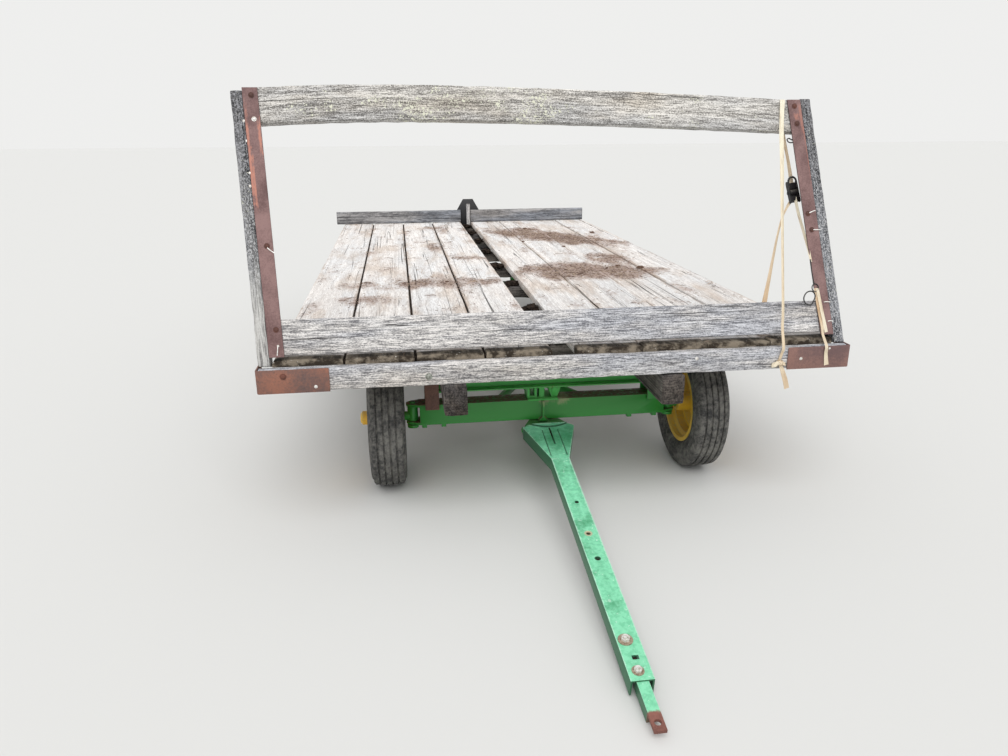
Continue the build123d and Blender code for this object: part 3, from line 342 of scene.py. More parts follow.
# Rust: purple brown scale with orange bloom and pits
def rustGroup():
    inputs = {"Vector": "v", "Base": "c", "Bloom": "c", "Coarse": "f"}
    tree, given = newGroup("rustScale", inputs, finishSockets)
    scaled = addNode(tree, "ShaderNodeVectorMath", {0: given["Vector"], 3: given["Coarse"]}, operation="SCALE")[0]
    cloud = texture(scaled, (7, 7, 7), 6, 0.6)
    speck = texture(scaled, (150, 150, 150), 5, 0.75)
    pits = texture(scaled, (330, 330, 330), 2, 0.5)
    mixed = cloud * 0.65 + speck * 0.35
    colour = blend(ramp(mixed, 0.36, 0.64), given["Base"], given["Bloom"])
    colour = blend(ramp(pits, 0.6, 0.75, 0, 0.5), colour, (0.03, 0.018, 0.015))
    return endGroup(tree, colour, ramp(cloud, 0.3, 0.8, 0.62, 0.9), speck * 0.0006 + pits * 0.0004)


# Old enamel: faded patches, scratches, chips down to rust, dust on what faces up
def enamelGroup(rust):
    amounts = ("Fade", "Chips", "Dust", "Gloss")
    inputs = {"Vector": "v", "Paint": "c", "Faded": "c", "Dirt": "c", **dict.fromkeys(amounts, "f")}
    tree, given = newGroup("oldEnamel", inputs, finishSockets)
    vector = given["Vector"]
    cloud = texture(vector, (7, 7, 7), 6, 0.6)
    fine = texture(vector, (60, 60, 60), 5, 0.65)
    fadeMask = calc("MULTIPLY", ramp(mulAdd(fine, 0.35, cloud), 0.45, 0.95), given["Fade"], clamp=True)
    facing = normalParts(tree)[2]
    fadeMask = fadeMask * ramp(facing, 0, 0.85, 0.05, 1)
    colour = blend(fadeMask, given["Paint"], given["Faded"])
    tones = {"Base": (0.09, 0.045, 0.03), "Bloom": (0.3, 0.12, 0.05)}
    scale = useGroup(tree, rust, {"Vector": vector, "Coarse": 1, **tones})
    chipField = mulAdd(texture(vector, (34, 34, 34), 6, 0.72), 1, cloud * 0.35)
    edge = 0.98 - given["Chips"] * 0.2
    chips = ramp(chipField - edge, 0, 0.02)
    colour = blend(chips, colour, scale["Color"])
    dust = ramp(facing, 0.1, 0.9) * ramp(fine, 0.25, 0.65)
    dust = calc("MULTIPLY", dust, given["Dust"], clamp=True)
    colour = blend(dust, colour, given["Dirt"])
    rough = mulAdd(fadeMask, 0.25, 0.62) - given["Gloss"]
    rough = calc("MAXIMUM", rough, maxOf(chips, dust) * 0.8, clamp=True)
    return endGroup(tree, colour, rough, mulAdd(chips, -0.0004, fine * 0.00015))


woodTree = woodGroup()
rustTree = rustGroup()
enamelTree = enamelGroup(rustTree)
print("shader groups made")


# A material round one Principled shader, fed with the colour, roughness and bump height that its look gives
def newMaterial(name, look, *facts, **shader):
    made = materials[name] = bpy.data.materials.new(name)
    made.use_nodes = True
    tree = made.node_tree
    principled = tree.nodes["Principled BSDF"].inputs
    for label, value in shader.items():
        principled[label.replace("_", " ")].default_value = value
    colour, rough, high = look(tree, *facts)
    bump = addNode(tree, "ShaderNodeBump", {"Height": high, "Strength": 1, "Distance": 1})[0]
    for label, value in (("Base Color", colour), ("Roughness", rough), ("Normal", bump)):
        tree.links.new(value.socket, principled[label])


def objectCoords(tree):
    return addNode(tree, "ShaderNodeMapping", {"Vector": addNode(tree, "ShaderNodeTexCoord")["Object"]})[0]


def boardCoords(tree):
    return addNode(tree, "ShaderNodeAttribute", attribute_name="boardCoord")["Vector"]


def attributeValue(tree, name):
    return addNode(tree, "ShaderNodeAttribute", attribute_name=name)["Fac"]


materials = {}
woodLooks = {
    "deckPlank": dict(Pale=(0.97, 0.94, 0.91), Dark=(0.66, 0.62, 0.59), Stain=(0.82, 0.75, 0.69),
                      Cool=(0.94, 0.97, 1), Lines=85, Line_Depth=0.3, Fibre=1.5, Streak=0.55, Checks=0.95,
                      Stained=0.9, Lichen=0, Grime=0.1),
    "headBoard": dict(Pale=(0.83, 0.8, 0.77), Dark=(0.16, 0.155, 0.16), Stain=(0.84, 0.77, 0.68),
                      Cool=(0.78, 0.82, 0.9), Lines=110, Line_Depth=0.12, Fibre=1.2, Speckle=0.25, Streak=0.3,
                      Checks=0.9, Stained=0.4, Lichen=0.3, Grime=0.2),
    "topBoard": dict(Pale=(0.84, 0.81, 0.76), Dark=(0.14, 0.13, 0.12), Stain=(0.8, 0.73, 0.63),
                     Cool=(0.84, 0.86, 0.9), Lines=110, Line_Depth=0.1, Fibre=0.95, Speckle=0.6, Streak=0.5,
                     Checks=1.2, Stained=0.6, Lichen=1.5, Grime=0.3),
    "post": dict(Pale=(0.34, 0.34, 0.345), Dark=(0.015, 0.015, 0.018), Stain=(0.8, 0.76, 0.7), Cool=(0.9, 0.93, 0.98),
                 Lines=100, Line_Depth=0.12, Fibre=0.9, Speckle=0.6, Streak=0.35, Checks=0.8, Stained=0.5, Lichen=0.8,
                 Grime=0.25),
    "roughTimber": dict(Pale=(0.27, 0.24, 0.215), Dark=(0.045, 0.04, 0.038), Stain=(0.6, 0.5, 0.42),
                        Cool=(0.8, 0.84, 0.92), Lines=80, Line_Depth=0.25, Fibre=0.8, Streak=0.8, Checks=0.8,
                        Stained=0.7, Lichen=0.1, Grime=0.5),
    "rearBoard": dict(Pale=(0.48, 0.47, 0.47), Dark=(0.1, 0.1, 0.105), Stain=(0.7, 0.65, 0.6), Cool=(0.8, 0.86, 0.95),
                      Lines=100, Line_Depth=0.2, Fibre=0.9, Streak=0.9, Checks=1, Stained=0.5, Lichen=0.3, Grime=0.4),
}


def paintWood(tree, name, toneSpread=0):
    facts = {label.replace("_", " "): value for label, value in woodLooks[name].items()}
    facts["Tone"] = attributeValue(tree, "boardTone") * toneSpread
    return useGroup(tree, woodTree, {"Vector": boardCoords(tree), "End": attributeValue(tree, "boardEnd"), **facts})


# Posts: dotted with pale lichen, darker at the top, and the right one bleached at its foot
def paintPost(tree, name):
    plain, rough, high = paintWood(tree, name)
    x, _, z = xyz(objectCoords(tree))
    foot = 1 - ramp(z, deckTop + 0.18, deckTop + 0.48)
    streaks = ramp(texture(boardCoords(tree), (9, 210, 210), 4, 0.65), 0.48, 0.56)
    foot = foot * (1 - ramp(x, deckMiddle - 0.5, deckMiddle))
    dots = ramp(texture(boardCoords(tree), (125, 175, 175), 2, 0.55), 0.52, 0.6, 0, 0.8)
    colour = blend(dots, plain, (0.5, 0.5, 0.51))
    bleached = blend(streaks, (0.6, 0.59, 0.56), (0.22, 0.21, 0.2))
    colour = blend(foot * 0.75, colour, bleached)
    colour = blend(ramp(z, deckTop + 0.45, deckTop + 0.9), colour, (0.68, 0.68, 0.7), "MULTIPLY")
    return colour, rough, high


# Deck planks: stains along the joints, dust under the chaff, dark broken front ends, and a painted shadow along the
# foot of the lower headboard board
def paintDeck(tree, name):
    colour, rough, high = paintWood(tree, name, 0.3)
    coords = objectCoords(tree)
    back = xyz(coords)[1]
    joint = ramp(abs(attributeValue(tree, "boardShare")), 0.82, 1)
    uneven = texture(boardCoords(tree), (2.2, 9, 9), 5, 0.65)
    colour = blend(joint * ramp(uneven, 0.42, 0.64, 0, 0.7), colour, (0.6, 0.47, 0.36), "MULTIPLY")
    dust = texture(coords, (70, 40, 70), 6, 0.8)
    broad = texture(coords, (7, 9, 7), 5, 0.7)
    dust = mulAdd(broad, 0.9, dust * 1.1)
    chaff = attributeValue(tree, "chaff")
    amount = mulAdd(chaff, 0.95, mulAdd(dust, 1.2, -1.6))
    dusty = ramp(amount, -0.3, 0.5, 0, 0.92) * ramp(chaff, 0.05, 0.4)
    tint = blend(ramp(broad, 0.35, 0.65), (0.3, 0.2, 0.16), (0.44, 0.34, 0.3))
    colour = blend(dusty, colour, tint)
    front = 1 - ramp(back, deckFront + 0.06, deckFront + 0.085)
    mottle = texture(coords, (15, 6, 20), 5, 0.62)
    dirtyEndsAndShadow = blend(ramp(mottle, 0.42, 0.6), (0.04, 0.03, 0.021), (0.28, 0.235, 0.18))
    # Painted shadow: a dark strip on the plank tops along the foot of the lower board
    shade = ramp(back, deckFront + 0.058, deckFront + 0.075)
    dirtyEndsAndShadow = blend(shade, dirtyEndsAndShadow, (0.03, 0.024, 0.018))
    chips = ramp(texture(coords, (60, 60, 110), 3, 0.7), 0.66, 0.72)
    dirtyEndsAndShadow = blend(chips, dirtyEndsAndShadow, (0.75, 0.72, 0.66))
    return blend(front, colour, dirtyEndsAndShadow), rough, high


for name in woodLooks:
    look = {"post": paintPost, "deckPlank": paintDeck}.get(name, paintWood)
    newMaterial(name, look, name, Specular_IOR_Level=0.25)

rustLooks = {
    "rustedIron": dict(Base=(0.12, 0.062, 0.06), Bloom=(0.29, 0.18, 0.17), Coarse=1),
    "rustedBracket": dict(Base=(0.115, 0.078, 0.074), Bloom=(0.31, 0.135, 0.09), Coarse=0.7),
    "dullBracket": dict(Base=(0.13, 0.078, 0.078), Bloom=(0.27, 0.15, 0.125), Coarse=0.7),
    "rustedStake": dict(Base=(0.06, 0.036, 0.032), Bloom=(0.19, 0.1, 0.075), Coarse=0.8),
    "rustedBolt": dict(Base=(0.06, 0.027, 0.022), Bloom=(0.17, 0.065, 0.045), Coarse=2),
}
# Orange primer left along the edges of an iron: distance from its outer edge, reach up from and down to a height
primerStreaks = {
    "right": ((0.0, 0.013, 0.62, 1.05), (0.046, 0.06, 0.83, 0.99), (0.01, 0.02, 0.6, 0.86)),
    "left": ((0.0, 0.016, 0.9, 1.05), (0.014, 0.042, 0.965, 1.005), (0.0, 0.006, 0.7, 0.95)),
}


def paintRust(tree, look):
    return useGroup(tree, rustTree, {"Vector": objectCoords(tree), **look})


# Iron: rust with orange primer along its edges, and painted shade on its side faces
def paintIron(tree, side):
    colour, rustRough, high = paintRust(tree, rustLooks["rustedIron"])
    coords = objectCoords(tree)
    sign, slant, strength = (1, 0.113, 0.42) if side == "left" else (-1, 0.05, 0.75)
    x, _, z = xyz(coords)
    rise = (z - deckTop) * (1 / math.cos(headboardLean))
    edge = mulAdd(rise + 0.021, -slant, deckMiddle + sign * 1.225)
    inboard = (edge - x) * sign
    rough = texture(coords, (90, 90, 24), 5, 0.7)
    for start, end, low, top in primerStreaks[side]:
        near = abs(inboard - (start + end) / 2) / ((end - start) / 2)
        tall = abs(rise - (low + top) / 2) / ((top - low) / 2)
        mask = mulAdd(rough, 2.4, -0.3) - maxOf(near, tall)
        colour = blend(ramp(mask, -0.15, 0.6, 0, strength), colour, (0.56, 0.24, 0.17))
    # Painted shade: faces whose normal points across are darkened
    shadedSide = ramp(abs(normalParts(tree)[0]), 0.75, 0.92) * 0.85
    return blend(shadedSide, colour, (0.03, 0.018, 0.016)), rustRough, high


for name, look in rustLooks.items():
    newMaterial(name, paintRust, look, Metallic=0, Specular_IOR_Level=0.4)
for side in sides:
    newMaterial("rustedIron" + side.capitalize(), paintIron, side, Specular_IOR_Level=0.4)

enamelLooks = {
    "gearGreen": dict(Paint=(0.027, 0.26, 0.036), Faded=(0.055, 0.32, 0.07), Fade=0.6, Chips=0.4, Dust=0.25,
                      Gloss=0.25),
    "tongueGreen": dict(Paint=(0.055, 0.3, 0.14), Faded=(0.23, 0.68, 0.42), Fade=1, Chips=0.35, Dust=0.03,
                        Gloss=0.22),
    "wheelYellow": dict(Paint=(0.72, 0.44, 0.03), Faded=(0.75, 0.52, 0.1), Fade=0.6, Chips=0.5, Dust=0.35,
                        Gloss=0.25),
    "signalOrange": dict(Paint=(0.85, 0.14, 0.015), Faded=(0.9, 0.3, 0.1), Fade=0.8, Chips=0.2, Dust=0.2, Gloss=0.15),
    "reflectorRed": dict(Paint=(0.3, 0.012, 0.01), Faded=(0.4, 0.05, 0.04), Fade=0.6, Chips=0.3, Dust=0.2, Gloss=0.3),
    "blackPaint": dict(Paint=(0.012, 0.012, 0.014), Faded=(0.035, 0.035, 0.04), Fade=0.6, Chips=0.3, Dust=0.3,
                       Gloss=0.2),
}
for name, base, changes in (
        ("axleGreen", "gearGreen", dict(Dust=1.3, Dirt=(0.19, 0.11, 0.08))),
        # A brighter copy of the gear paint for the bolster: painted light
        ("bolsterGreen", "gearGreen", dict(Paint=(0.05, 0.42, 0.065), Faded=(0.08, 0.46, 0.1))),
        ("gearWorn", "gearGreen", dict(Paint=(0.06, 0.16, 0.06), Faded=(0.16, 0.24, 0.15), Chips=1, Fade=1)),
        # The tongue's rounded edges: worn paint, made pale as a painted highlight
        ("tongueWorn", "tongueGreen", dict(Paint=(0.2, 0.5, 0.32), Faded=(0.62, 0.8, 0.68), Chips=0.8)),
        ("wheelWorn", "wheelYellow", dict(Paint=(0.62, 0.45, 0.1), Faded=(0.7, 0.6, 0.3), Chips=0.8))):
    enamelLooks[name] = {**enamelLooks[base], **changes}


def paintEnamel(tree, look, **changes):
    return useGroup(tree, enamelTree, {"Vector": objectCoords(tree), "Dirt": (0.33, 0.3, 0.24), **look, **changes})


# Axle: rust and soil on top, brown smudges beside the middle rib
def paintAxle(tree, look, ribWidth=0.045):
    colour, rough, high = paintEnamel(tree, look)
    coords = objectCoords(tree)
    x, _, z = xyz(coords)
    aside = abs(x - (deckMiddle + ribWidth)) - ribWidth
    reach = calc("SQRT", abs(aside) ** 2 + abs(z - (deckTop - 0.375)) ** 2)
    ragged = texture(coords, (45, 45, 45), 5, 0.7)
    smudge = ramp(ragged * 0.07 - reach, -0.015, 0.02, 0, 0.6)
    return blend(smudge, colour, (0.42, 0.36, 0.22)), rough, high


# Tongue: paler along its top toward the tip, worn pale at its edges, rusted round one hole and at the tip, with
# painted shade on its side walls, in its folds, under its lip and in its holes and slot
tongueWear = dict(headStart=0.034, headHalf=0.125, neck=0.315, neckHalf=0.042, narrowest=0.0395, lipHalf=0.0875,
                  lipMiddle=0.0075, lipBulge=0.028, crease=0.038, ringAt=0.865, roundHole=1.015, squareHole=1.498,
                  tipFrom=1.7)


def paintTongue(tree, look):
    wear = tongueWear
    coords = objectCoords(tree)
    x, y, z = xyz(coords)
    along = (tongueHinge.y - y) * math.cos(tongueSlope)
    along = mulAdd(tongueHinge.z - z, math.sin(tongueSlope), along)
    across = x - tongueHinge.x
    side = abs(across)
    fade = ramp(along, 0.25, 0.5, 1.3, 2.1) + ramp(along, 0.6, 1.6, 0, 1)
    colour, paintRough, high = paintEnamel(tree, look, Fade=fade)
    facing = normalParts(tree)[2]
    top = ramp(facing, 0.6, 0.9)
    rough = texture(coords, (60, 60, 60), 5, 0.7)
    patchy = texture(coords, (22, 22, 22), 5, 0.65)

    def line(value, middle, half, soft=0.0015):
        return 1 - ramp(abs(value - middle), half, half + soft)

    def distance(along):
        place = {0: coords, 1: tonguePoint(0, along, 0.03)}
        return addNode(tree, "ShaderNodeVectorMath", place, operation="DISTANCE")["Value"]

    taper = (wear["headHalf"] - wear["neckHalf"]) / (wear["neck"] - wear["headStart"])
    flare = mulAdd(along, -taper, wear["headHalf"] + taper * wear["headStart"])
    half = minOf(maxOf(flare, wear["narrowest"]), wear["headHalf"])
    worn = ramp(mulAdd(rough, 0.014, -0.0045) - (half - side), -0.002, 0.002)
    worn = maxOf(worn, line(along, 0.318, 0.002) * ramp(rough, 0.4, 0.55))
    worn = maxOf(worn, ramp(patchy, 0.63, 0.7))
    worn = maxOf(worn, line(along, 0.003, 0.005) * ramp(rough, 0.35, 0.5))
    # Painted shade: faces that do not face up are darkened
    shade = (1 - ramp(facing, 0.1, 0.6)) * 0.75
    colour = blend(shade, colour, (0.012, 0.075, 0.03))
    mottle = ramp(texture(coords, (48, 48, 48), 6, 0.7), 0.42, 0.62, 0, 0.5) * top
    colour = blend(mottle, colour, (0.09, 0.42, 0.22))
    scuff = ramp(texture(coords, (80, 80, 80), 4, 0.65), 0.64, 0.72, 0, 0.75) * top
    colour = blend(scuff, colour, (0.68, 0.86, 0.76))
    colour = blend(worn * (top * 0.5), colour, (0.6, 0.84, 0.7))
    # Painted shade under the lip, in the creases and in the holes and slot, on the top faces only
    arc = mulAdd(abs(across - wear["lipMiddle"]) ** 2, wear["lipBulge"] / wear["lipHalf"] ** 2, along)
    lip = line(arc, wear["lipBulge"] + 0.003, 0.0025) * line(along, 0.015, 0.017)
    crease = line(side, wear["crease"], 0.0015) * line(along, 0.175, 0.115)
    slot = line(side, 0, 0.0035, 0.001) * line(along, 0.155, 0.035)
    squareHole = line(along, wear["squareHole"], 0.008) * line(across, 0.003, 0.0105)
    roundHole = 1 - ramp(distance(wear["roundHole"]), 0.0115, 0.0125)
    dark = maxOf(maxOf(maxOf(lip, crease * 0.8), slot), maxOf(squareHole, roundHole))
    colour = blend(dark * (top * 0.9), colour, (0.008, 0.03, 0.018))
    rust = paintRust(tree, dict(Base=(0.09, 0.034, 0.028), Bloom=(0.25, 0.1, 0.075), Coarse=1))
    ring = 1 - ramp(mulAdd(rough, 0.006, distance(wear["ringAt"])), 0.0175, 0.021)
    tip = ramp(mulAdd(rough, 0.02, along), wear["tipFrom"] + 0.004, wear["tipFrom"] + 0.016)
    colour = blend(tip, blend(ring * 0.85, colour, (0.5, 0.42, 0.28)), rust["Color"])
    return colour, maxOf(paintRough, tip * 0.8), high


for name, look in enamelLooks.items():
    paint = {"tongueGreen": paintTongue, "tongueWorn": paintTongue, "axleGreen": paintAxle}.get(name, paintEnamel)
    newMaterial(name, paint, look, Specular_IOR_Level=0.5)


def paintRubber(tree):
    coords = objectCoords(tree)
    fine = texture(coords, (55, 55, 55), 6, 0.7)
    dusty = ramp(mulAdd(texture(coords, (9, 9, 9)), 0.6, fine), 0.62, 1)
    return blend(dusty, (0.03, 0.03, 0.03), (0.17, 0.165, 0.15)), ramp(fine, 0.2, 0.8, 0.62, 0.9), fine * 0.0008


def paintWebbing(tree):
    u, v, _ = xyz(boardCoords(tree))
    weave = calc("SINE", v * (6283 / 2.2)) * calc("SINE", u * (6283 / 1.8))
    dirt = texture(boardCoords(tree), (14, 60, 60), 5, 0.65)
    colour = blend(attributeValue(tree, "boardTone"), (0.93, 0.87, 0.7), (0.62, 0.4, 0.22))
    colour = blend(ramp(dirt, 0.45, 0.8, 0, 0.6), colour, (0.4, 0.24, 0.13))
    colour = blend(ramp(weave, 0.1, 0.9, 0, 0.25), colour, (0.35, 0.28, 0.18))
    return colour, ramp(dirt, 0.3, 0.7, 0.75, 0.9), weave * 0.0002


def paintSteel(tree, pale, dark):
    fine = texture(objectCoords(tree), (120, 120, 120), 5, 0.7)
    return blend(ramp(fine, 0.42, 0.66), pale, dark), ramp(fine, 0.3, 0.7, 0.35, 0.65), fine * 0.0002


def paintStraw(tree):
    fine = texture(objectCoords(tree), (40, 40, 40), 3)
    mixed = mulAdd(fine, 0.3, attributeValue(tree, "boardTone") * 0.8)
    colour = blend(ramp(mixed, 0.3, 0.95), (0.15, 0.095, 0.07), (0.62, 0.49, 0.38))
    return colour, ramp(fine, 0.2, 0.8, 0.8, 0.95), fine * 0.0002


# Near-black dirt, for fillers that also stand in for shade in gaps and holes
def paintDirtAndShade(tree):
    fine = texture(objectCoords(tree), (90, 30, 90), 5, 0.7)
    colour = blend(ramp(fine, 0.35, 0.7), (0.008, 0.006, 0.005), (0.05, 0.035, 0.026))
    return colour, ramp(fine, 0.2, 0.8, 0.85, 0.98), fine * 0.001


for name, look, shine in (("packedDirt", paintDirtAndShade, 0.1), ("tyreRubber", paintRubber, 0.3),
                          ("webbing", paintWebbing, 0.2), ("chaff", paintStraw, 0.1)):
    newMaterial(name, look, Specular_IOR_Level=shine)
for name, *tones in (("zincSteel", (0.78, 0.77, 0.74), (0.45, 0.4, 0.34)),
                     ("oldSteel", (0.34, 0.36, 0.32), (0.13, 0.12, 0.1)),
                     ("tanSteel", (0.4, 0.33, 0.24), (0.2, 0.13, 0.09)),
                     ("nailSteel", (0.92, 0.91, 0.88), (0.6, 0.55, 0.5))):
    newMaterial(name, paintSteel, *tones, Metallic=0.35)
print("materials made:", len(materials))


def newObject(name, data):
    made = bpy.data.objects.new(name, data)
    bpy.context.scene.collection.objects.link(made)
    return made


# A piece from vertices and faces, smooth unless told otherwise, with sharp edges past the crease angle
def newPiece(name, verts, faces, material, body, slot, smooth=True, coords=None, crease=None):
    mesh = bpy.data.meshes.new(name)
    mesh.from_pydata([tuple(v) for v in verts], [], faces)
    if coords is not None:
        layer = mesh.attributes.new("boardCoord", "FLOAT_VECTOR", "POINT")
        layer.data.foreach_set("vector", np.asarray(coords, np.float32).ravel())
    mesh.materials.append(materials[material])
    if smooth:
        mesh.shade_smooth()
    outward(mesh)
    if crease:
        mesh.set_sharp_from_angle(angle=math.radians(crease))
    piece = newObject(name, mesh)
    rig.ride(piece, body)
    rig.slot(piece, slot)
    return piece


def outward(mesh):
    shape = bmesh.new()
    shape.from_mesh(mesh)
    bmesh.ops.recalc_face_normals(shape, faces=shape.faces)
    shape.to_mesh(mesh)
    shape.free()
    mesh.update()


# One plain mesh in place of an object's modifiers
def settle(host):
    graph = bpy.context.evaluated_depsgraph_get()
    evaluated = host.evaluated_get(graph)
    host.data = bpy.data.meshes.new_from_object(evaluated, preserve_all_data_layers=True, depsgraph=graph)
    host.modifiers.clear()


# A piece grown by a geometry tree from a start mesh
def growMesh(name, tree, inputs, body, slot, start=None):
    host = newObject(name, start or bpy.data.meshes.new(name + "Start"))
    modifier = host.modifiers.new(name, "NODES")
    modifier.node_group = tree
    for item in tree.interface.items_tree:
        if item.item_type == "SOCKET" and item.in_out == "INPUT" and item.name in inputs:
            modifier[item.identifier] = inputs[item.name]
    settle(host)
    host.data.name = name
    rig.ride(host, body)
    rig.slot(host, slot)
    return host


# Faces round rows of vertices: open rows get an end face each, in the order given by capStep
def ringFaces(count, rows, looped=False, capStep=-1):
    faces = []
    for row in range(rows if looped else rows - 1):
        near, far = row * count, (row + 1) % rows * count
        for index in range(count):
            after = (index + 1) % count
            faces.append((near + index, near + after, far + after, far + index))
    if not looped:
        faces += [tuple(range(count))[::capStep], tuple(range((rows - 1) * count, rows * count))[::-capStep]]
    return faces


# Several shapes as one. A shape is its vertices, its faces and any lists of values for its vertices.
def joinedShapes(shapes):
    joined = [[] for _ in shapes[0]]
    for verts, faces, *values in shapes:
        joined[1] += [tuple(index + len(joined[0]) for index in face) for face in faces]
        for kept, given in zip((joined[0], *joined[2:]), (verts, *values)):
            kept += given
    return joined


# Wood or webbing: shapes that also carry their lengthwise coordinates and one value for each vertex
def grainPiece(name, shapes, material, label, replaced, crease=None):
    verts, faces, coords, values = joinedShapes(shapes)
    piece = newPiece(name, verts, faces, material, "root", slotOf[replaced], coords=coords, crease=crease)
    piece.data.attributes.new(label, "FLOAT", "POINT").data.foreach_set("value", values)
    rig.replaces(piece, replaced)


# A CAD node's solids, each as an array of its corners, in an order that is the same on each run
def solidsOf(node):
    shape = bmesh.new()
    shape.from_mesh(nodes[node].data)
    bmesh.ops.remove_doubles(shape, verts=shape.verts, dist=2e-5)
    left = dict.fromkeys(shape.verts)
    solids = []
    while left:
        group = [left.popitem()[0]]
        for vert in group:
            for edge in vert.link_edges:
                other = edge.other_vert(vert)
                if other in left:
                    del left[other]
                    group.append(other)
        solids.append(np.array([vert.co[:] for vert in group]))
    shape.free()
    return solids


# Corners of a straight board's CAD solid: for each end, the extreme points across and through it
def boardCorners(points, along, across, through):
    corners = {}
    for end in (0, 1):
        for side in (0, 1):
            for face in (0, 1):
                toward = along * (2 * end - 1) * 3 + across * (2 * side - 1) + through * (2 * face - 1)
                corners[end, side, face] = Vector(points[(points @ np.array(toward)).argmax()])
    return corners


def trimmed(corners, across, raised):
    # The lower edge raised by its own amount at each end
    return {key: place + across * (raised[key[0]] if key[1] == 0 else 0) for key, place in corners.items()}


# Rounded rectangle of a board's section, as shares of its width and thickness
def sectionRing(width, thick, round, acrossSteps, throughSteps):
    ring = []
    corner = [(0, 0), (1, 0), (1, 1), (0, 1)]
    for index, (sx, sy) in enumerate(corner):
        cx = round / width if sx == 0 else 1 - round / width
        cy = round / thick if sy == 0 else 1 - round / thick
        for step in range(3):
            angle = math.pi * (1 + index * 0.5 + step * 0.25)
            ring.append((cx + math.cos(angle) * round / width, cy + math.sin(angle) * round / thick))
        steps = acrossSteps if index % 2 == 0 else throughSteps
        nx, ny = corner[(index + 1) % 4]
        lastX, lastY = ring[-1]
        endX = (round / width if nx == 0 else 1 - round / width) if index % 2 == 0 else lastX
        endY = (round / thick if ny == 0 else 1 - round / thick) if index % 2 == 1 else lastY
        for step in range(1, steps):
            share = step / steps
            ring.append((lastX + (endX - lastX) * share, lastY + (endY - lastY) * share))
    return ring


# A weathered board between eight corners: worn edges, wavy faces, ragged ends
def boardShape(corners, seed, wear=0.004, wave=0.0015, round=0.004, step=0.03, bow=None, endWear=0.004):
    start = corners[0, 0, 0]
    length = (corners[1, 0, 0] - start).length
    width = (corners[0, 1, 0] - start).length
    thick = (corners[0, 0, 1] - start).length
    ring = sectionRing(width, thick, round, max(4, int(width / 0.03)), max(2, int(thick / 0.02)))
    rows = max(8, int(length / step))
    verts, coords, ends = [], [], []

    def spot(a, s, t):
        low = corners[0, 0, 0].lerp(corners[1, 0, 0], a).lerp(corners[0, 1, 0].lerp(corners[1, 1, 0], a), s)
        high = corners[0, 0, 1].lerp(corners[1, 0, 1], a).lerp(corners[0, 1, 1].lerp(corners[1, 1, 1], a), s)
        point = low.lerp(high, t)
        return point + bow(a) if bow else point

    # The wear of the long edges reaches 30 mm in from them across the face and 20 mm through the board
    acrossEdge, throughEdge = 2 * 0.03 / width, 2 * 0.02 / thick
    direction = (spot(1, 0.5, 0.5) - spot(0, 0.5, 0.5)).normalized()
    frayed = endWear / length
    shares = [0, 0.4 * frayed, *(min(max(i / rows, frayed), 1 - frayed) for i in range(rows + 1)), 1 - 0.4 * frayed,
              1]
    for row, a in enumerate(shares):
        fromEnd = min(row, len(shares) - 1 - row)
        shrink = (0.6, 0.25)[fromEnd] * endWear if fromEnd < 2 else 0.0
        middle = spot(a, 0.5, 0.5)
        for s, t in ring:
            point = spot(a, s, t)
            inward = (middle - point).normalized()
            edge = max(abs(s - 0.5) * 2 - (1 - acrossEdge), 0) / acrossEdge
            edge *= max(abs(t - 0.5) * 2 - (1 - throughEdge), 0) / throughEdge
            place = Vector((a * length * 6 + seed * 17.3, s * width * 20, t * thick * 20 + seed))
            broad = noise.noise(place * 0.35)
            fine = noise.noise(place * 3.1)
            chip = max(noise.noise(place * 1.3 + Vector((seed, 5, 2))) - 0.15, 0) * 2.2
            depth = wear * edge * (0.45 + 0.6 * fine + chip) + wave * (broad * 0.7 + fine * 0.3) * 0.8 + shrink
            ragged = 0.0
            if fromEnd < 3:
                grain = noise.noise(Vector((seed * 3.3, s * width * 90, t * thick * 90)))
                ragged = endWear * (0.5 + 0.5 * grain) * (1 if row < 5 else -1)
            verts.append(point + inward * depth + direction * ragged)
            coords.append((a * length + seed * 3.7, (s - 0.5) * width + seed * 0.013, t * thick + seed * 1.9))
            ends.append(1.0 if row < 2 or row > len(shares) - 3 else 0.0)
    return verts, ringFaces(len(ring), len(shares), capStep=1), coords, ends


# The top board sags along an arc through its two ends and its high middle
def topBow(share, high=0.031, highAt=0.315):
    side = share / highAt if share < highAt else (1 - share) / (1 - highAt)
    return leanUp * high * (1 - (1 - side) ** 2)


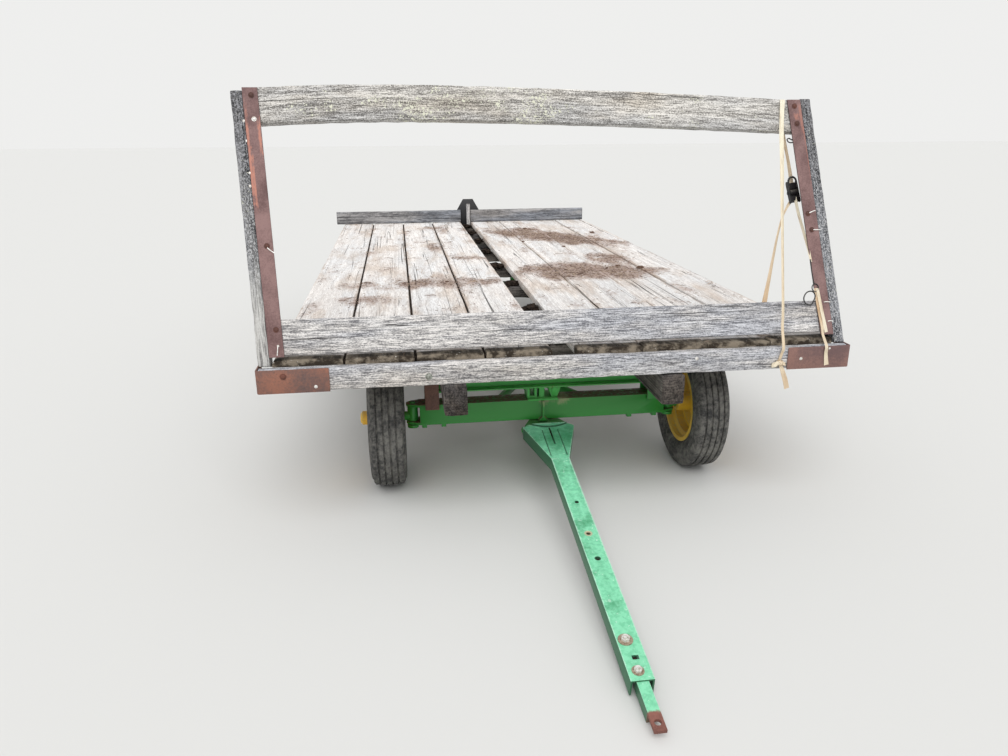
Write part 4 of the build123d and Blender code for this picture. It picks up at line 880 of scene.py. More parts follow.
# The boards. Axes run along a board, across its face and through it.
wide, rearward, upward = Vector((1, 0, 0)), Vector((0, 1, 0)), Vector((0, 0, 1))
leanUp, leanBack = Vector((0, 0.29, 0.96)), Vector((0, 0.96, -0.29))
upright, leaning, lengthwise, post = ((wide, upward, rearward), (wide, leanUp, leanBack),
                                      (rearward, wide, upward), (leanUp, wide, leanBack))
boardPieces = {
    "front_board": dict(axes=upright, material="headBoard", seed=3.1, wear=0.0035, wave=0.001),
    "headboard_lower_board": dict(axes=leaning, material="headBoard", seed=7.7, wear=0.0035, wave=0.001,
                                  raised=(0, 0.0085)),
    "sill_left": dict(axes=lengthwise, material="roughTimber", seed=11.2, wear=0.006, wave=0.003, step=0.06),
    "sill_right": dict(axes=lengthwise, material="roughTimber", seed=12.9, wear=0.006, wave=0.003, step=0.06),
    "rear_board_left": dict(axes=upright, material="rearBoard", seed=15.4, wear=0.007, wave=0.003),
    "rear_board_right": dict(axes=upright, material="rearBoard", seed=18.8, wear=0.007, wave=0.003),
    "headboard_post_left": dict(axes=post, material="post", seed=21.5, wear=0.0045, wave=0.0015),
    "headboard_post_right": dict(axes=post, material="post", seed=24.6, wear=0.0045, wave=0.0015),
    "emblem_stake": dict(axes=(upward, wide, rearward), material="headBoard", seed=28.3, wear=0.004, wave=0.001),
    "headboard_top_board": dict(axes=leaning, material="topBoard", seed=33.7, wear=0.0045, wave=0.0014,
                                raised=(0.003, 0.0075), bow=topBow),
    "cross_members": dict(axes=(wide, rearward, upward), material="roughTimber", seed=40.3, wear=0.005, wave=0.003,
                          step=0.05),
}


def boardPiece(node, axes, material, seed, raised=(0, 0), **shape):
    boards = []
    for index, points in enumerate(solidsOf(node)):
        corners = trimmed(boardCorners(points, *axes), axes[1], raised)
        boards.append(boardShape(corners, seed + 2.7 * index, **shape))
    grainPiece("wood_" + node.replace("headboard_top", "top"), boards, material, "boardEnd", node)


for node, made in boardPieces.items():
    boardPiece(node, **made)
print("boards weathered:", len(boardPieces), "pieces")


def storeValue(tree, geometry, name, value, kind="FLOAT", domain="POINT"):
    inputs = {"Geometry": geometry, "Name": name, "Value": value}
    return addNode(tree, "GeometryNodeStoreNamedAttribute", inputs, data_type=kind, domain=domain)[0]


def storedValue(tree, name, kind="FLOAT"):
    return addNode(tree, "GeometryNodeInputNamedAttribute", {"Name": name}, data_type=kind)["Attribute"]


def endPiece(tree, geometry, material):
    painted = addNode(tree, "GeometryNodeSetMaterial", {"Geometry": geometry, "Material": material})[0]
    addNode(tree, "NodeGroupOutput", {"Geometry": painted})
    return tree


# Deck planks, grown by rule: count, width and gap, worn edges, wander of each plank, a long split
def plankPanelTree():
    sizes = ("Plank Width", "Gap", "Length", "Thickness", "Wear", "Seed", "Split From", "Split Width", "Split Inset")
    inputs = {"Planks": "i", **dict.fromkeys(sizes, "f"), "Corner": "v", "Material": "m"}
    tree, given = newGroup("plankPanel", inputs, {"Geometry": "g"}, "GeometryNodeTree")
    width, length, thick = given["Plank Width"], given["Length"], given["Thickness"]

    def combine(x, y, z):
        return addNode(tree, "ShaderNodeCombineXYZ", {0: x, 1: y, 2: z})[0]

    def position():
        return xyz(addNode(tree, "GeometryNodeInputPosition")[0])

    def cube(x, y, z):
        counts = {"Vertices X": x, "Vertices Y": y, "Vertices Z": z}
        return addNode(tree, "GeometryNodeMeshCube", {"Size": (2, 2, 2), **counts})[0]

    # One plank, its rows crowded toward the long edges and the ends
    block = cube(14, 130, 5)
    x, y, z = position()
    half = width * 0.5
    bent = [calc("SINE", value * (math.pi / 2)) for value in (x, z)]
    crowd = mulAdd(calc("SINE", y * math.pi), 0.12, y)
    place = combine(mulAdd(bent[0], half, half), mulAdd(crowd, 0.5, 0.5) * length, mulAdd(bent[1], 0.5, 0.5) * thick)
    plank = addNode(tree, "GeometryNodeSetPosition", {"Geometry": block, "Position": place})[0]
    pitch = width + given["Gap"]
    row = addNode(tree, "GeometryNodeMeshLine", {"Count": given["Planks"], "Offset": combine(pitch, 0, 0)})[0]
    planks = addNode(tree, "GeometryNodeInstanceOnPoints", {"Points": row, "Instance": plank})[0]
    planks = addNode(tree, "GeometryNodeRealizeInstances", {"Geometry": planks})[0]

    # The split: a jagged wedge that widens to the rear end
    wedge = cube(2, 60, 2)
    x, y, z = position()
    share = mulAdd(y, 0.5, 0.5)
    along = mulAdd(share, length + 0.02 - given["Split From"], given["Split From"])
    jag = texture(combine(0, along, given["Seed"]), (1, 5, 1), 4, 0.6)
    middle = mulAdd(jag - 0.5, 0.03, given["Planks"] * pitch - given["Split Inset"])
    opening = mulAdd(share ** 0.8, given["Split Width"] * 0.5, 0.0004)
    place = combine(mulAdd(x, opening, middle), along, mulAdd(z, 0.7, 0.5) * thick)
    wedge = addNode(tree, "GeometryNodeSetPosition", {"Geometry": wedge, "Position": place})[0]
    meshes = {"Mesh 1": planks, "Mesh 2": wedge}
    cut = addNode(tree, "GeometryNodeMeshBoolean", meshes, operation="DIFFERENCE", solver="EXACT")[0]
    test = {"A": given["Split Width"], "B": 0}
    isSplit = addNode(tree, "FunctionNodeCompare", test, data_type="FLOAT", operation="GREATER_THAN")[0]
    choice = {"Switch": isSplit, "False": planks, "True": cut}
    planks = addNode(tree, "GeometryNodeSwitch", choice, input_type="GEOMETRY")[0]

    # Wear and wander of each plank
    x, y, z = position()
    index = minOf(calc("FLOOR", x / pitch), given["Planks"] - 1)
    local = x - index * pitch - half
    key = mulAdd(given["Seed"], 3.1, index)
    chance = addNode(tree, "ShaderNodeTexWhiteNoise", {"W": key}, noise_dimensions="1D")
    ownX, ownY, ownZ = xyz(chance["Color"])
    acrossShare = local / half
    lift = z / (thick * 0.5) - 1
    edge = ramp(abs(acrossShare), 0.93, 1) * ramp(abs(lift), 0.35, 1)
    keyed = combine(local * 9, y, key * 7.3)
    nibble = texture(keyed, (1, 7, 1), 4, 0.7)
    worn = edge * given["Wear"] * mulAdd(nibble, 1.6, -0.1)
    cup = abs(acrossShare) ** 2 * mulAdd(ownX, 0.006, -0.003)
    up = (texture(keyed, (0.25, 0.7, 1), 3) - 0.5) * 0.006 + cup + mulAdd(ownY, 0.003, -0.002)
    up = up - worn * calc("SIGN", lift)
    over = worn * calc("SIGN", acrossShare) * -0.7
    frontEnd, rearEnd = (1 - ramp(distance, 0, 0.06) for distance in (y, length - y))
    rag = texture(combine(local * 60, z * 60, key), (1, 1, 1), 3) * 0.009
    ragged = frontEnd * mulAdd(ownX, 0.002, rag) - rearEnd * mulAdd(ownY, 0.014, rag)
    shift = combine(over, ragged, up)
    moved = addNode(tree, "GeometryNodeSetPosition", {"Geometry": planks, "Offset": shift})[0]
    coord = combine(mulAdd(key, 3.71, y), mulAdd(key, 0.37, local), mulAdd(key, 1.93, z))
    moved = storeValue(tree, moved, "boardCoord", coord, "FLOAT_VECTOR")
    moved = storeValue(tree, moved, "boardTone", ownZ - 0.5)
    moved = storeValue(tree, moved, "boardShare", acrossShare)
    placed = addNode(tree, "GeometryNodeTransform", {"Geometry": moved, "Translation": given["Corner"]})[0]
    return endPiece(tree, placed, given["Material"])


# Chaff and dust on the deck: middle across and back, half sizes, slope, strength
chaffPatches = (
    (-0.48, 1.59, 0.52, 0.24, -0.02, 0.68), (-0.93, 1.6, 0.22, 0.12, 0.0, 0.6), (0.62, 3.6, 0.66, 0.5, -0.85, 1.15),
    (0.54, 1.85, 0.55, 0.38, -0.1, 1.2), (0.82, 2.35, 0.2, 0.36, 0.0, 0.8), (0.95, 1.85, 0.2, 0.16, 0.0, 0.8),
    (0.5, 4.1, 0.16, 0.2, 0.0, 1.0), (-0.41, 3.1, 0.1, 0.3, 0.0, 0.7), (-0.18, 2.52, 0.2, 0.1, 0.0, 0.6),
    (-0.9, 1.2, 0.2, 0.25, 0.0, 0.35), (-0.3, 4.3, 0.3, 0.4, 0.0, 0.35),
)


def chaffAmount(x, y):
    amount = 0.0
    for middle, back, halfWide, halfLong, slope, strength in chaffPatches:
        reach = ((x - middle) / halfWide) ** 2 + ((y - back - slope * (x - middle)) / halfLong) ** 2
        amount = max(amount, strength * (1 - reach))
    ragged = noise.fractal(Vector((x * 9, y * 4, 2.0)), 0.9, 2.0, 5)
    return max(0.0, min(1.0, amount + ragged * 0.55 + 0.1)) if amount > -0.9 else 0.0


def storeChaff(mesh, name):
    values = [chaffAmount(vert.co.x - deckMiddle, vert.co.y - deckFront) for vert in mesh.vertices]
    mesh.attributes.new(name, "FLOAT", "POINT").data.foreach_set("value", values)
    return values


planksTree = plankPanelTree()
plankPanels = {
    "left": {"Gap": 0.003, "Seed": 1.0, "Split Width": 0.018},
    "right": {"Gap": 0.009, "Seed": 6.0, "Split Width": 0.0},
}
for side, made in plankPanels.items():
    node = "deck_planks_" + side
    low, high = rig.box(node)
    width = (high.x - low.x - 3 * made["Gap"]) / 4
    inputs = {"Planks": 4, "Plank Width": width, "Length": high.y - low.y, "Thickness": high.z - low.z,
              "Corner": tuple(low), "Wear": 0.005, "Split From": 3.3, "Split Inset": 0.042,
              "Material": materials["deckPlank"], **made}
    panel = growMesh("planks_" + side, planksTree, inputs, "root", "weathered_plank")
    panel.data.shade_smooth()
    panel.data.set_sharp_from_angle(angle=math.radians(42))
    storeChaff(panel.data, "chaff")
    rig.replaces(panel, node)
    print("plank panel", side, len(panel.data.polygons), "faces")

# Dirt packed between the planks, a little under their tops, near black so that it also stands in for the shade in the
# joints
jointDirtAndShade = dict(top=0.013, depth=0.02, spill=0.004)


def loftShape(sections):
    return [point for section in sections for point in section], ringFaces(4, len(sections))


jointDirtAndShadeShapes = []
for side in sides:
    start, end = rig.box("deck_planks_" + side)
    half = plankPanels[side]["Gap"] / 2 + jointDirtAndShade["spill"]
    for plank in (1, 2, 3):
        middle = start.x + (end.x - start.x) / 4 * plank
        sections = []
        for y in np.linspace(start.y + 0.02, end.y - 0.02, 60):
            top = deckTop - jointDirtAndShade["top"] + 0.004 * noise.noise(Vector((y * 9, plank * 3.1, middle)))
            low = top - jointDirtAndShade["depth"]
            sections.append([(middle + x, y, z) for x, z in ((-half, top), (half, top), (half, low), (-half, low))])
        jointDirtAndShadeShapes.append(loftShape(sections))
newPiece("joint_dirt", *joinedShapes(jointDirtAndShadeShapes), "packedDirt", "root", "weathered_plank")
# A dark strip of dirt in the tongue's open channel, under its holes and slot, standing in for the shade inside it
sections = []
for along in np.linspace(0.03, 0.93, 40):
    half = 0.031 + 0.03 * max(0, 0.3 - along) / 0.27
    low = 0.019 + 0.003 * noise.noise(Vector((along * 23, 2, 5)))
    outline = ((-half, 0.0235), (half, 0.0235), (half, low), (-half, low))
    sections.append([tonguePoint(x, along, up) for x, up in outline])
newPiece("tongue_dirt", *loftShape(sections), "packedDirt", "tongue", "tongue_paint")

# Steel pieces: the CAD shape with its edges rounded and worn, the tongue's edges also pale as a painted highlight
nodeFinish = {
    "headboard_iron": "rustedIron", "front_bracket": "rustedBracket", "front_bracket_left": "dullBracket",
    "stake": "rustedStake", "rim": "wheelYellow", "hub": "wheelYellow",
    "front_axle": "axleGreen", "front_bolster": "bolsterGreen", "tongue": "tongueGreen", "slow_vehicle": "blackPaint",
    "stake_front_left": "gearGreen",
}
edgeWearAndHighlight = {"gearGreen": "gearWorn", "axleGreen": "gearWorn", "bolsterGreen": "gearWorn",
              "tongueGreen": "tongueWorn", "wheelYellow": "wheelWorn"}
steelSetup = dict(edge=0.0016, crease=32)


def softenedSteel(node, finish):
    mesh = nodes[node].data.copy()
    shape = bmesh.new()
    shape.from_mesh(mesh)
    bmesh.ops.remove_doubles(shape, verts=shape.verts, dist=2e-5)
    bmesh.ops.dissolve_limit(shape, angle_limit=math.radians(0.7), verts=shape.verts, edges=shape.edges)
    bmesh.ops.recalc_face_normals(shape, faces=shape.faces)
    shape.to_mesh(mesh)
    shape.free()
    for layer in [layer.name for layer in mesh.attributes if layer.name in ("custom_normal", "sharp_edge")]:
        mesh.attributes.remove(mesh.attributes[layer])
    mesh.materials.clear()
    for name in (finish, edgeWearAndHighlight.get(finish, finish)):
        mesh.materials.append(materials[name])
    for face in mesh.polygons:
        face.material_index = 0
    piece = newObject("steel_" + node, mesh)
    bevel = piece.modifiers.new("edges", "BEVEL")
    crease = math.radians(steelSetup["crease"])
    settings = dict(width=steelSetup["edge"], segments=2, limit_method="ANGLE", angle_limit=crease, material=1)
    for name, value in settings.items():
        setattr(bevel, name, value)
    settle(piece)
    piece.data.shade_smooth()
    piece.data.set_sharp_from_angle(angle=crease)
    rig.ride(piece, bodyOf[node])
    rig.slot(piece, slotOf[node])
    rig.replaces(piece, node)
    return piece


steelFaces = 0
for name in nodes:
    if name in boardPieces or name.startswith(("tyre", "strap", "ratchet", "deck")):
        continue
    starts = (finish for start, finish in nodeFinish.items() if name.startswith(start))
    finish = nodeFinish.get(name) or next(starts, "gearGreen")
    if finish == "rustedIron":
        finish = "rustedIron" + name.rsplit("_", 1)[1].capitalize()
    steelFaces += len(softenedSteel(name, finish).data.polygons)
print("steel softened:", steelFaces, "faces")

# Tyres: ribs and grooves on a spun section, with rings on the side walls
tyreShape = dict(segments=96, ribs=5, groove=0.0075, grooveDepth=0.008, bulge=0.085, tread=0.069, crown=0.006)


def tyrePiece(node):
    low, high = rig.box(node)
    middle = (low + high) / 2
    outer = (high.z - low.z) / 2
    bead = outer - 0.145
    tread, bulge, groove = tyreShape["tread"], tyreShape["bulge"], tyreShape["groove"]
    ribWidth = (2 * tread - (tyreShape["ribs"] - 1) * groove) / tyreShape["ribs"]
    section = [(-0.0605, bead + 0.001), (-0.061, bead + 0.016), (-0.066, bead + 0.024), (-0.076, bead + 0.04),
               (-bulge + 0.001, bead + 0.06), (-bulge, bead + 0.074), (-0.0855, bead + 0.077),
               (-0.0855, bead + 0.081), (-bulge + 0.001, bead + 0.084), (-0.082, bead + 0.104),
               (-0.0835, bead + 0.107), (-0.0825, bead + 0.112), (-0.0785, bead + 0.116), (-0.074, bead + 0.13)]
    place = -tread
    for rib in range(tyreShape["ribs"]):
        for x in (place, place + 0.002, place + ribWidth - 0.002, place + ribWidth):
            inset = 0.0015 if x in (place, place + ribWidth) else 0.0
            section.append((x, outer - tyreShape["crown"] * (x / tread) ** 2 - inset))
        place += ribWidth
        if rib < tyreShape["ribs"] - 1:
            for x in (place + 0.001, place + groove - 0.001):
                section.append((x, outer - tyreShape["crown"] * (x / tread) ** 2 - tyreShape["grooveDepth"]))
        place += groove
    section += [(-x, radius) for x, radius in reversed(section[:14])]
    verts = []
    for step in range(tyreShape["segments"]):
        angle = 2 * math.pi * step / tyreShape["segments"]
        for x, radius in section:
            verts.append((middle.x + x, middle.y + radius * math.sin(angle), middle.z + radius * math.cos(angle)))
    faces = ringFaces(len(section), tyreShape["segments"], looped=True)
    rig.replaces(newPiece("rubber_" + node, verts, faces, "tyreRubber", bodyOf[node], slotOf[node], crease=35), node)


for name in nodes:
    if name.startswith("tyre"):
        tyrePiece(name)
print("tyres spun")


# Rows of values along a Catmull-Rom line through the stops
def smoothRows(stops, steps, closed=False):
    stops = np.array(stops, float)
    count = len(stops)
    rows = []
    for index in range(count if closed else count - 1):
        picks = range(index - 1, index + 3)
        picks = [pick % count if closed else min(max(pick, 0), count - 1) for pick in picks]
        before, start, end, after = stops[picks]
        for step in range(steps):
            t = step / steps
            rows.append(0.5 * (2 * start + (end - before) * t + (2 * before - 5 * start + 4 * end - after) * t * t
                               + (3 * start - before - 3 * end + after) * t ** 3))
    if not closed:
        rows.append(stops[-1])
    return np.array(rows)


# A flat strap. Each stop gives its place, the direction of its width, its width, how far it is folded
# lengthwise, and how tan it is
def ribbonShape(stops, run, thick=0.0016, steps=8):
    rows = smoothRows([(*place, *Vector(across).normalized(), *sizes) for place, across, *sizes in stops], steps)
    ring = [(s, 0.5) for s in (-0.93, -0.5, 0.0, 0.5, 0.93)] + [(1.0, 0.0)]
    ring += [(s, -0.5) for s in (0.93, 0.5, 0.0, -0.5, -0.93)] + [(-1.0, 0.0)]
    verts, coords, tones = [], [], []
    for index, row in enumerate(rows):
        place = Vector(row[:3])
        ahead = (Vector(rows[min(index + 1, len(rows) - 1)][:3]) - Vector(rows[max(index - 1, 0)][:3])).normalized()
        if index:
            run += (place - Vector(rows[index - 1][:3])).length
        across = Vector(row[3:6])
        across = (across - ahead * across.dot(ahead)).normalized()
        out = across.cross(ahead)
        for s, t in ring:
            verts.append(place + across * s * row[6] / 2 + out * (t * thick + row[7] * (1 - s * s)))
            coords.append((run, s * 0.0125, t * thick))
            tones.append(row[8])
    return verts, ringFaces(len(ring), len(rows)), coords, tones


def strapPiece(name, ribbons, replaced):
    shapes = []
    for stops in ribbons:
        shapes.append(ribbonShape(stops, 0.001 * sum(len(shape[0]) for shape in shapes)))
    grainPiece(name, shapes, "webbing", "boardTone", replaced, 50)


# Tubes along lines, for wire, pins and bent nails
def tubeShape(line, radius, closed=False, steps=8, sides=8):
    rows = smoothRows([tuple(point) for point in line], steps, closed)
    verts = []
    count = len(rows)
    side = None
    for index, row in enumerate(rows):
        before = rows[(index - 1) % count] if closed else rows[max(index - 1, 0)]
        after = rows[(index + 1) % count] if closed else rows[min(index + 1, count - 1)]
        ahead = Vector(after - before).normalized()
        side = side or ahead.orthogonal()
        side = (side - ahead * side.dot(ahead)).normalized()
        other = ahead.cross(side)
        for step in range(sides):
            angle = 2 * math.pi * step / sides
            verts.append(Vector(row) + (side * math.cos(angle) + other * math.sin(angle)) * radius)
    return verts, ringFaces(sides, count, closed)


def tubePiece(name, shapes, material, body, slot):
    return newPiece(name, *joinedShapes(shapes), material, body, slot, crease=50)


# Tie-down strap: over the top board, down in front to a knot, down behind to its ratchet, then a loose end,
# a thin end to a wire hook with a ring, and a doubled end over the iron and the bracket
slopeUp = Vector((0, math.sin(headboardLean), math.cos(headboardLean)))
outFront = Vector((0, -math.cos(headboardLean), math.sin(headboardLean)))


# Stops of a strap from rows: across, up or down, out, lean of the width, width, fold, tan
def strapStops(point, rows):
    return [(point(*row[:3]), wide + outFront * row[3], *row[4:]) for row in rows]


strapFall = strapStops(headPoint, (
    (1.044, 0.985, -0.0465, 0, 0.02, 0, 0.3), (1.0395, 1.042, -0.0475, 0, 0.021, 0, 0.15),
    (1.036, 1.0605, -0.036, 0, 0.021, 0, 0), (1.0275, 1.0625, -0.014, 0, 0.021, 0, 0),
    (1.0205, 1.05, 0.0055, 0, 0.022, 0, 0), (1.0155, 1, 0.0065, 0, 0.021, 0.001, 0),
    (1.0095, 0.92, 0.008, 0.1, 0.02, 0.002, 0), (1.0045, 0.833, 0.014, 0.3, 0.018, 0.004, 0.03),
    (0.9985, 0.72, 0.02, 0.5, 0.016, 0.005, 0.08), (0.992, 0.612, 0.024, 0.6, 0.0135, 0.005, 0.15),
    (0.984, 0.45, 0.03, 0.6, 0.0115, 0.005, 0.22), (0.976, 0.29, 0.036, 0.6, 0.011, 0.005, 0.28),
    (0.967, 0.13, 0.043, 0.4, 0.0115, 0.005, 0.33), (0.963, 0.05, 0.04, 0, 0.013, 0.004, 0.4),
)) + strapStops(boardPoint, (
    (0.96, -0.005, 0.012, 0, 0.014, 0.004, 0.45), (0.9555, 0.03, 0.007, 0, 0.014, 0.003, 0.5),
    (0.949, 0.06, 0.006, 0, 0.012, 0.003, 0.5),
))
knotMiddle = boardPoint(0.949, 0.064, 0.011)


def knotStops(spots, across, width, tan):
    return [(knotMiddle + Vector(spot), across, width, 0.0015, tan) for spot in spots]


strapKnot = [
    knotStops([(0.009, 0.006, 0.004), (0.012, -0.004, 0.001), (0.004, -0.011, -0.002), (-0.008, -0.008, -0.003),
               (-0.012, 0.004, 0), (-0.004, 0.008, 0.002)], (0.15, 0, 1), 0.014, 0.35),
    knotStops([(-0.004, -0.006, 0.009), (0.002, -0.013, 0.003), (0.004, -0.012, -0.008), (0, -0.002, -0.014)],
              (1, 0, 0.3), 0.012, 0.5),
    knotStops([(0.002, -0.004, 0), (-0.016, -0.012, -0.001), (-0.028, -0.013, -0.007), (-0.036, -0.004, -0.011),
               (-0.028, 0.003, -0.011), (-0.014, 0.002, -0.006), (0, 0.002, -0.004)], (0.25, 0.2, 1), 0.018, 0.25),
    knotStops([(0.002, -0.003, 0), (0.015, -0.009, -0.003), (0.026, -0.005, -0.007), (0.022, 0.003, -0.009),
               (0.004, 0.002, -0.005)],
              (-0.25, 0.2, 1), 0.014, 0.35),
]
strapTail = [(knotMiddle + Vector(row[:3]), (1, 0, row[3]), *row[4:]) for row in (
    (0, 0, -0.004, 0.2, 0.012, 0.003, 0.5), (0.008, -0.004, -0.02, 0.25, 0.017, 0.003, 0.4),
    (0.02, -0.006, -0.05, 0.3, 0.021, 0.002, 0.5), (0.034, -0.005, -0.085, 0.3, 0.023, 0.002, 0.65),
    (0.046, -0.002, -0.122, 0.3, 0.023, 0.001, 0.6))]
strapPiece("strap_front", [strapFall, *strapKnot, strapTail], "strap_fall")
strapPiece("strap_back", [strapStops(headPoint, (
    (1.037, 1.05, -0.0505, 0, 0.02, 0, 0.3), (1.041, 0.985, -0.0505, 0, 0.016, 0, 0.4),
    (1.051, 0.9, -0.051, 0.6, 0.014, 0.002, 0.5), (1.0645, 0.82, -0.052, 0.8, 0.013, 0.003, 0.55),
    (1.074, 0.755, -0.053, 0.3, 0.016, 0.002, 0.5), (1.077, 0.727, -0.053, 0, 0.019, 0, 0.4),
    (1.082, 0.69, -0.0535, 0, 0.021, 0, 0.25),
))], "strap_hanging")
strapPiece("strap_loose_end", [strapStops(headPoint, (
    (1.0735, 0.622, -0.058, 0, 0.014, 0.001, 0.5), (1.053, 0.59, -0.06, 1, 0.011, 0.003, 0.5),
    (1.033, 0.55, -0.062, 1.5, 0.01, 0.004, 0.5), (1.0105, 0.48, -0.062, 1.5, 0.01, 0.004, 0.5),
    (0.99, 0.4, -0.062, 1.2, 0.0115, 0.003, 0.5), (0.965, 0.3, -0.061, 0.8, 0.0145, 0.003, 0.6),
    (0.941, 0.205, -0.06, 0.4, 0.019, 0.002, 0.75), (0.929, 0.15, -0.06, 0, 0.025, 0.001, 0.8),
    (0.927, 0.09, -0.06, 0, 0.025, 0, 0.8), (0.93, 0.034, -0.06, 0, 0.025, 0, 0.8),
))], "strap_loose")
strapPiece("strap_thin_end", [strapStops(headPoint, (
    (1.089, 0.64, -0.044, 0.5, 0.012, 0.003, 0), (1.098, 0.56, -0.034, 0.5, 0.0125, 0.003, 0.05),
    (1.108, 0.48, -0.016, 0.5, 0.012, 0.003, 0.1), (1.1175, 0.4, 0.002, 0.5, 0.011, 0.002, 0.2),
    (1.1245, 0.34, 0.0105, 0.2, 0.009, 0.001, 0.25),
))], "strap_thin")
strapOver = strapStops(headPoint, (
    (1.142, 0.2235, 0.0085, 0, 0.017, 0.001, 0.5), (1.144, 0.2, 0.0092, 0, 0.018, 0.001, 0.6),
    (1.1505, 0.15, 0.0092, 0, 0.016, 0.001, 0.8), (1.158, 0.1, 0.0095, 0, 0.015, 0.002, 0.75),
    (1.164, 0.05, 0.012, 0, 0.013, 0.002, 0.5), (1.164, 0.016, 0.016, 0.4, 0.011, 0.003, 0.35),
)) + strapStops(boardPoint, (
    (1.1595, -0.003, 0.013, 0.3, 0.013, 0.002, 0.3), (1.163, 0.035, 0.01, 0, 0.017, 0.002, 0.3),
    (1.172, 0.086, 0.009, 0, 0.022, 0.001, 0.35),
))
strapUnder = strapStops(headPoint, (
    (1.149, 0.222, 0.0105, 0, 0.013, 0.001, 0.1), (1.153, 0.19, 0.0125, 0, 0.014, 0.001, 0.25),
    (1.161, 0.14, 0.0135, 0.3, 0.013, 0.002, 0.3), (1.17, 0.09, 0.014, 0.2, 0.014, 0.002, 0.1),
    (1.179, 0.045, 0.0125, 0, 0.016, 0.001, 0.05), (1.1825, 0.026, 0.011, 0, 0.016, 0.001, 0.1),
))
strapPiece("strap_doubled_end", [strapOver, strapUnder], "strap_lower")


# Points on the headboard, with their distances from its front face given apart
def headLine(forwards, *spots):
    return [headPoint(x, rise, forward) for (x, rise), forward in zip(spots, forwards)]


hookRing = headPoint(1.1395, 0.226, 0.0088)
hookLine = headLine((0.011, 0.0105, 0.0095, 0.009, 0.009, 0.009), (1.121, 0.352), (1.1225, 0.335), (1.1245, 0.31),
                    (1.129, 0.275), (1.1335, 0.25), (1.137, 0.24))
ringLine = [hookRing + wide * math.cos(angle) * 0.0148 + slopeUp * math.sin(angle) * 0.0172
            for angle in np.linspace(0, 2 * math.pi, 13)[:-1]]
hookShapes = [tubeShape(hookLine, 0.0025), tubeShape(ringLine, 0.0024, True, 3)]
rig.replaces(tubePiece("strap_wire_hook", hookShapes, "blackPaint", "root", "buckle_steel"), "strap_hook")
looseLoop = headLine((0.009, 0.009, 0.009, 0.0095, 0.01, 0.0105, 0.01, 0.009, 0.009), (1.132, 0.172), (1.138, 0.19),
                     (1.131, 0.206), (1.114, 0.211), (1.095, 0.203), (1.0835, 0.183), (1.087, 0.163), (1.101, 0.152),
                     (1.118, 0.152))
postWire = headLine((-0.012, -0.006, 0, 0.004, 0.006, 0.004, 0), (1.08, 0.882), (1.062, 0.885), (1.046, 0.889),
                    (1.036, 0.882), (1.042, 0.871), (1.056, 0.869), (1.066, 0.873))
bareWires = [tubeShape(looseLoop, 0.003, True, 5, 6), tubeShape(postWire, 0.0028, False, 6, 6)]
tubePiece("loose_wires", bareWires, "blackPaint", "root", "buckle_steel")

# Ratchet buckle, in the headboard's slope: across, up, out of the front
ratchetMiddle = headPoint(1.084, 0.674, -0.0525)
ratchetTurn = Matrix((wide, slopeUp, outFront)).transposed() @ Matrix.Rotation(math.radians(9), 3, "Z")


def ratchetSpot(a, b, c):
    return ratchetMiddle + ratchetTurn @ Vector((a, b, c))


def plateShape(outline, start, end):
    verts = [ratchetSpot(a, b, c) for a in (start, end) for b, c in outline]
    return verts, ringFaces(len(outline), 2, capStep=1)


def barShape(start, end, b, c, radius, sides=14):
    turns = [2 * math.pi * step / sides for step in range(sides)]
    verts = []
    for a, share in ((start, 0.75), (start + 0.0012, 1.0), (end - 0.0012, 1.0), (end, 0.75)):
        size = radius * share
        verts += [ratchetSpot(a, b + size * math.cos(turn), c + size * math.sin(turn)) for turn in turns]
    return verts, ringFaces(sides, 4)


def slotOutline(low, high, half, lean=0.0, steps=7):
    outline = []
    for end, start in ((low, 0.5), (high, -0.5)):
        for step in range(steps):
            angle = math.pi * (start + step / (steps - 1))
            outline.append((end + half * math.cos(angle), lean * end + half * math.sin(angle)))
    return outline


def toothedOutline(middle, teeth, inner, outer):
    outline = []
    for tooth in range(teeth):
        angle = 2 * math.pi * tooth / teeth
        for shift, radius in ((0.0, inner), (0.55, outer), (0.62, outer), (0.95, inner)):
            turned = angle + 2 * math.pi / teeth * shift
            outline.append((middle[0] + radius * math.cos(turned), middle[1] + radius * math.sin(turned)))
    return outline


ratchet = dict(half=0.0235, spoolAt=(-0.012, -0.003), spoolRadius=0.0145, gripLift=0.006, wall=0.0024)
spoolAt = ratchet["spoolAt"]
ratchetParts = []
for sign in (1, -1):
    outer, inner = sign * ratchet["half"], sign * (ratchet["half"] - ratchet["wall"])
    toothed = toothedOutline(spoolAt, 10, 0.0115, 0.0148)
    for outline, start, end in ((slotOutline(-0.05, 0.03, 0.0095, -0.02), outer, inner),
                                (slotOutline(-0.014, 0.022, 0.009, 0.16), inner - sign * 0.0004,
                                 inner - sign * 0.0024),
                                (toothed, inner - sign * 0.003, inner - sign * 0.0052)):
        ratchetParts.append(plateShape(outline, *sorted((start, end))))
    ratchetParts.append(barShape(*sorted((sign * 0.0262, sign * 0.0236)), *spoolAt, 0.0085))
gripLine = [ratchetSpot(a, b, ratchet["gripLift"] + b * 0.1) for a, b in (
    (-0.0185, 0.008), (-0.0195, 0.026), (-0.0175, 0.044), (-0.0075, 0.0545), (0.0065, 0.054), (0.0165, 0.043),
    (0.0185, 0.026), (0.0175, 0.008))]
ratchetParts += [barShape(-0.0178, 0.0178, *spoolAt, ratchet["spoolRadius"], 20),
                 barShape(-0.0262, 0.0262, -0.052, 0.0015, 0.0055), tubeShape(gripLine, 0.0042, False, 4, 10),
                 barShape(-0.025, 0.025, 0.018, -0.003, 0.004)]
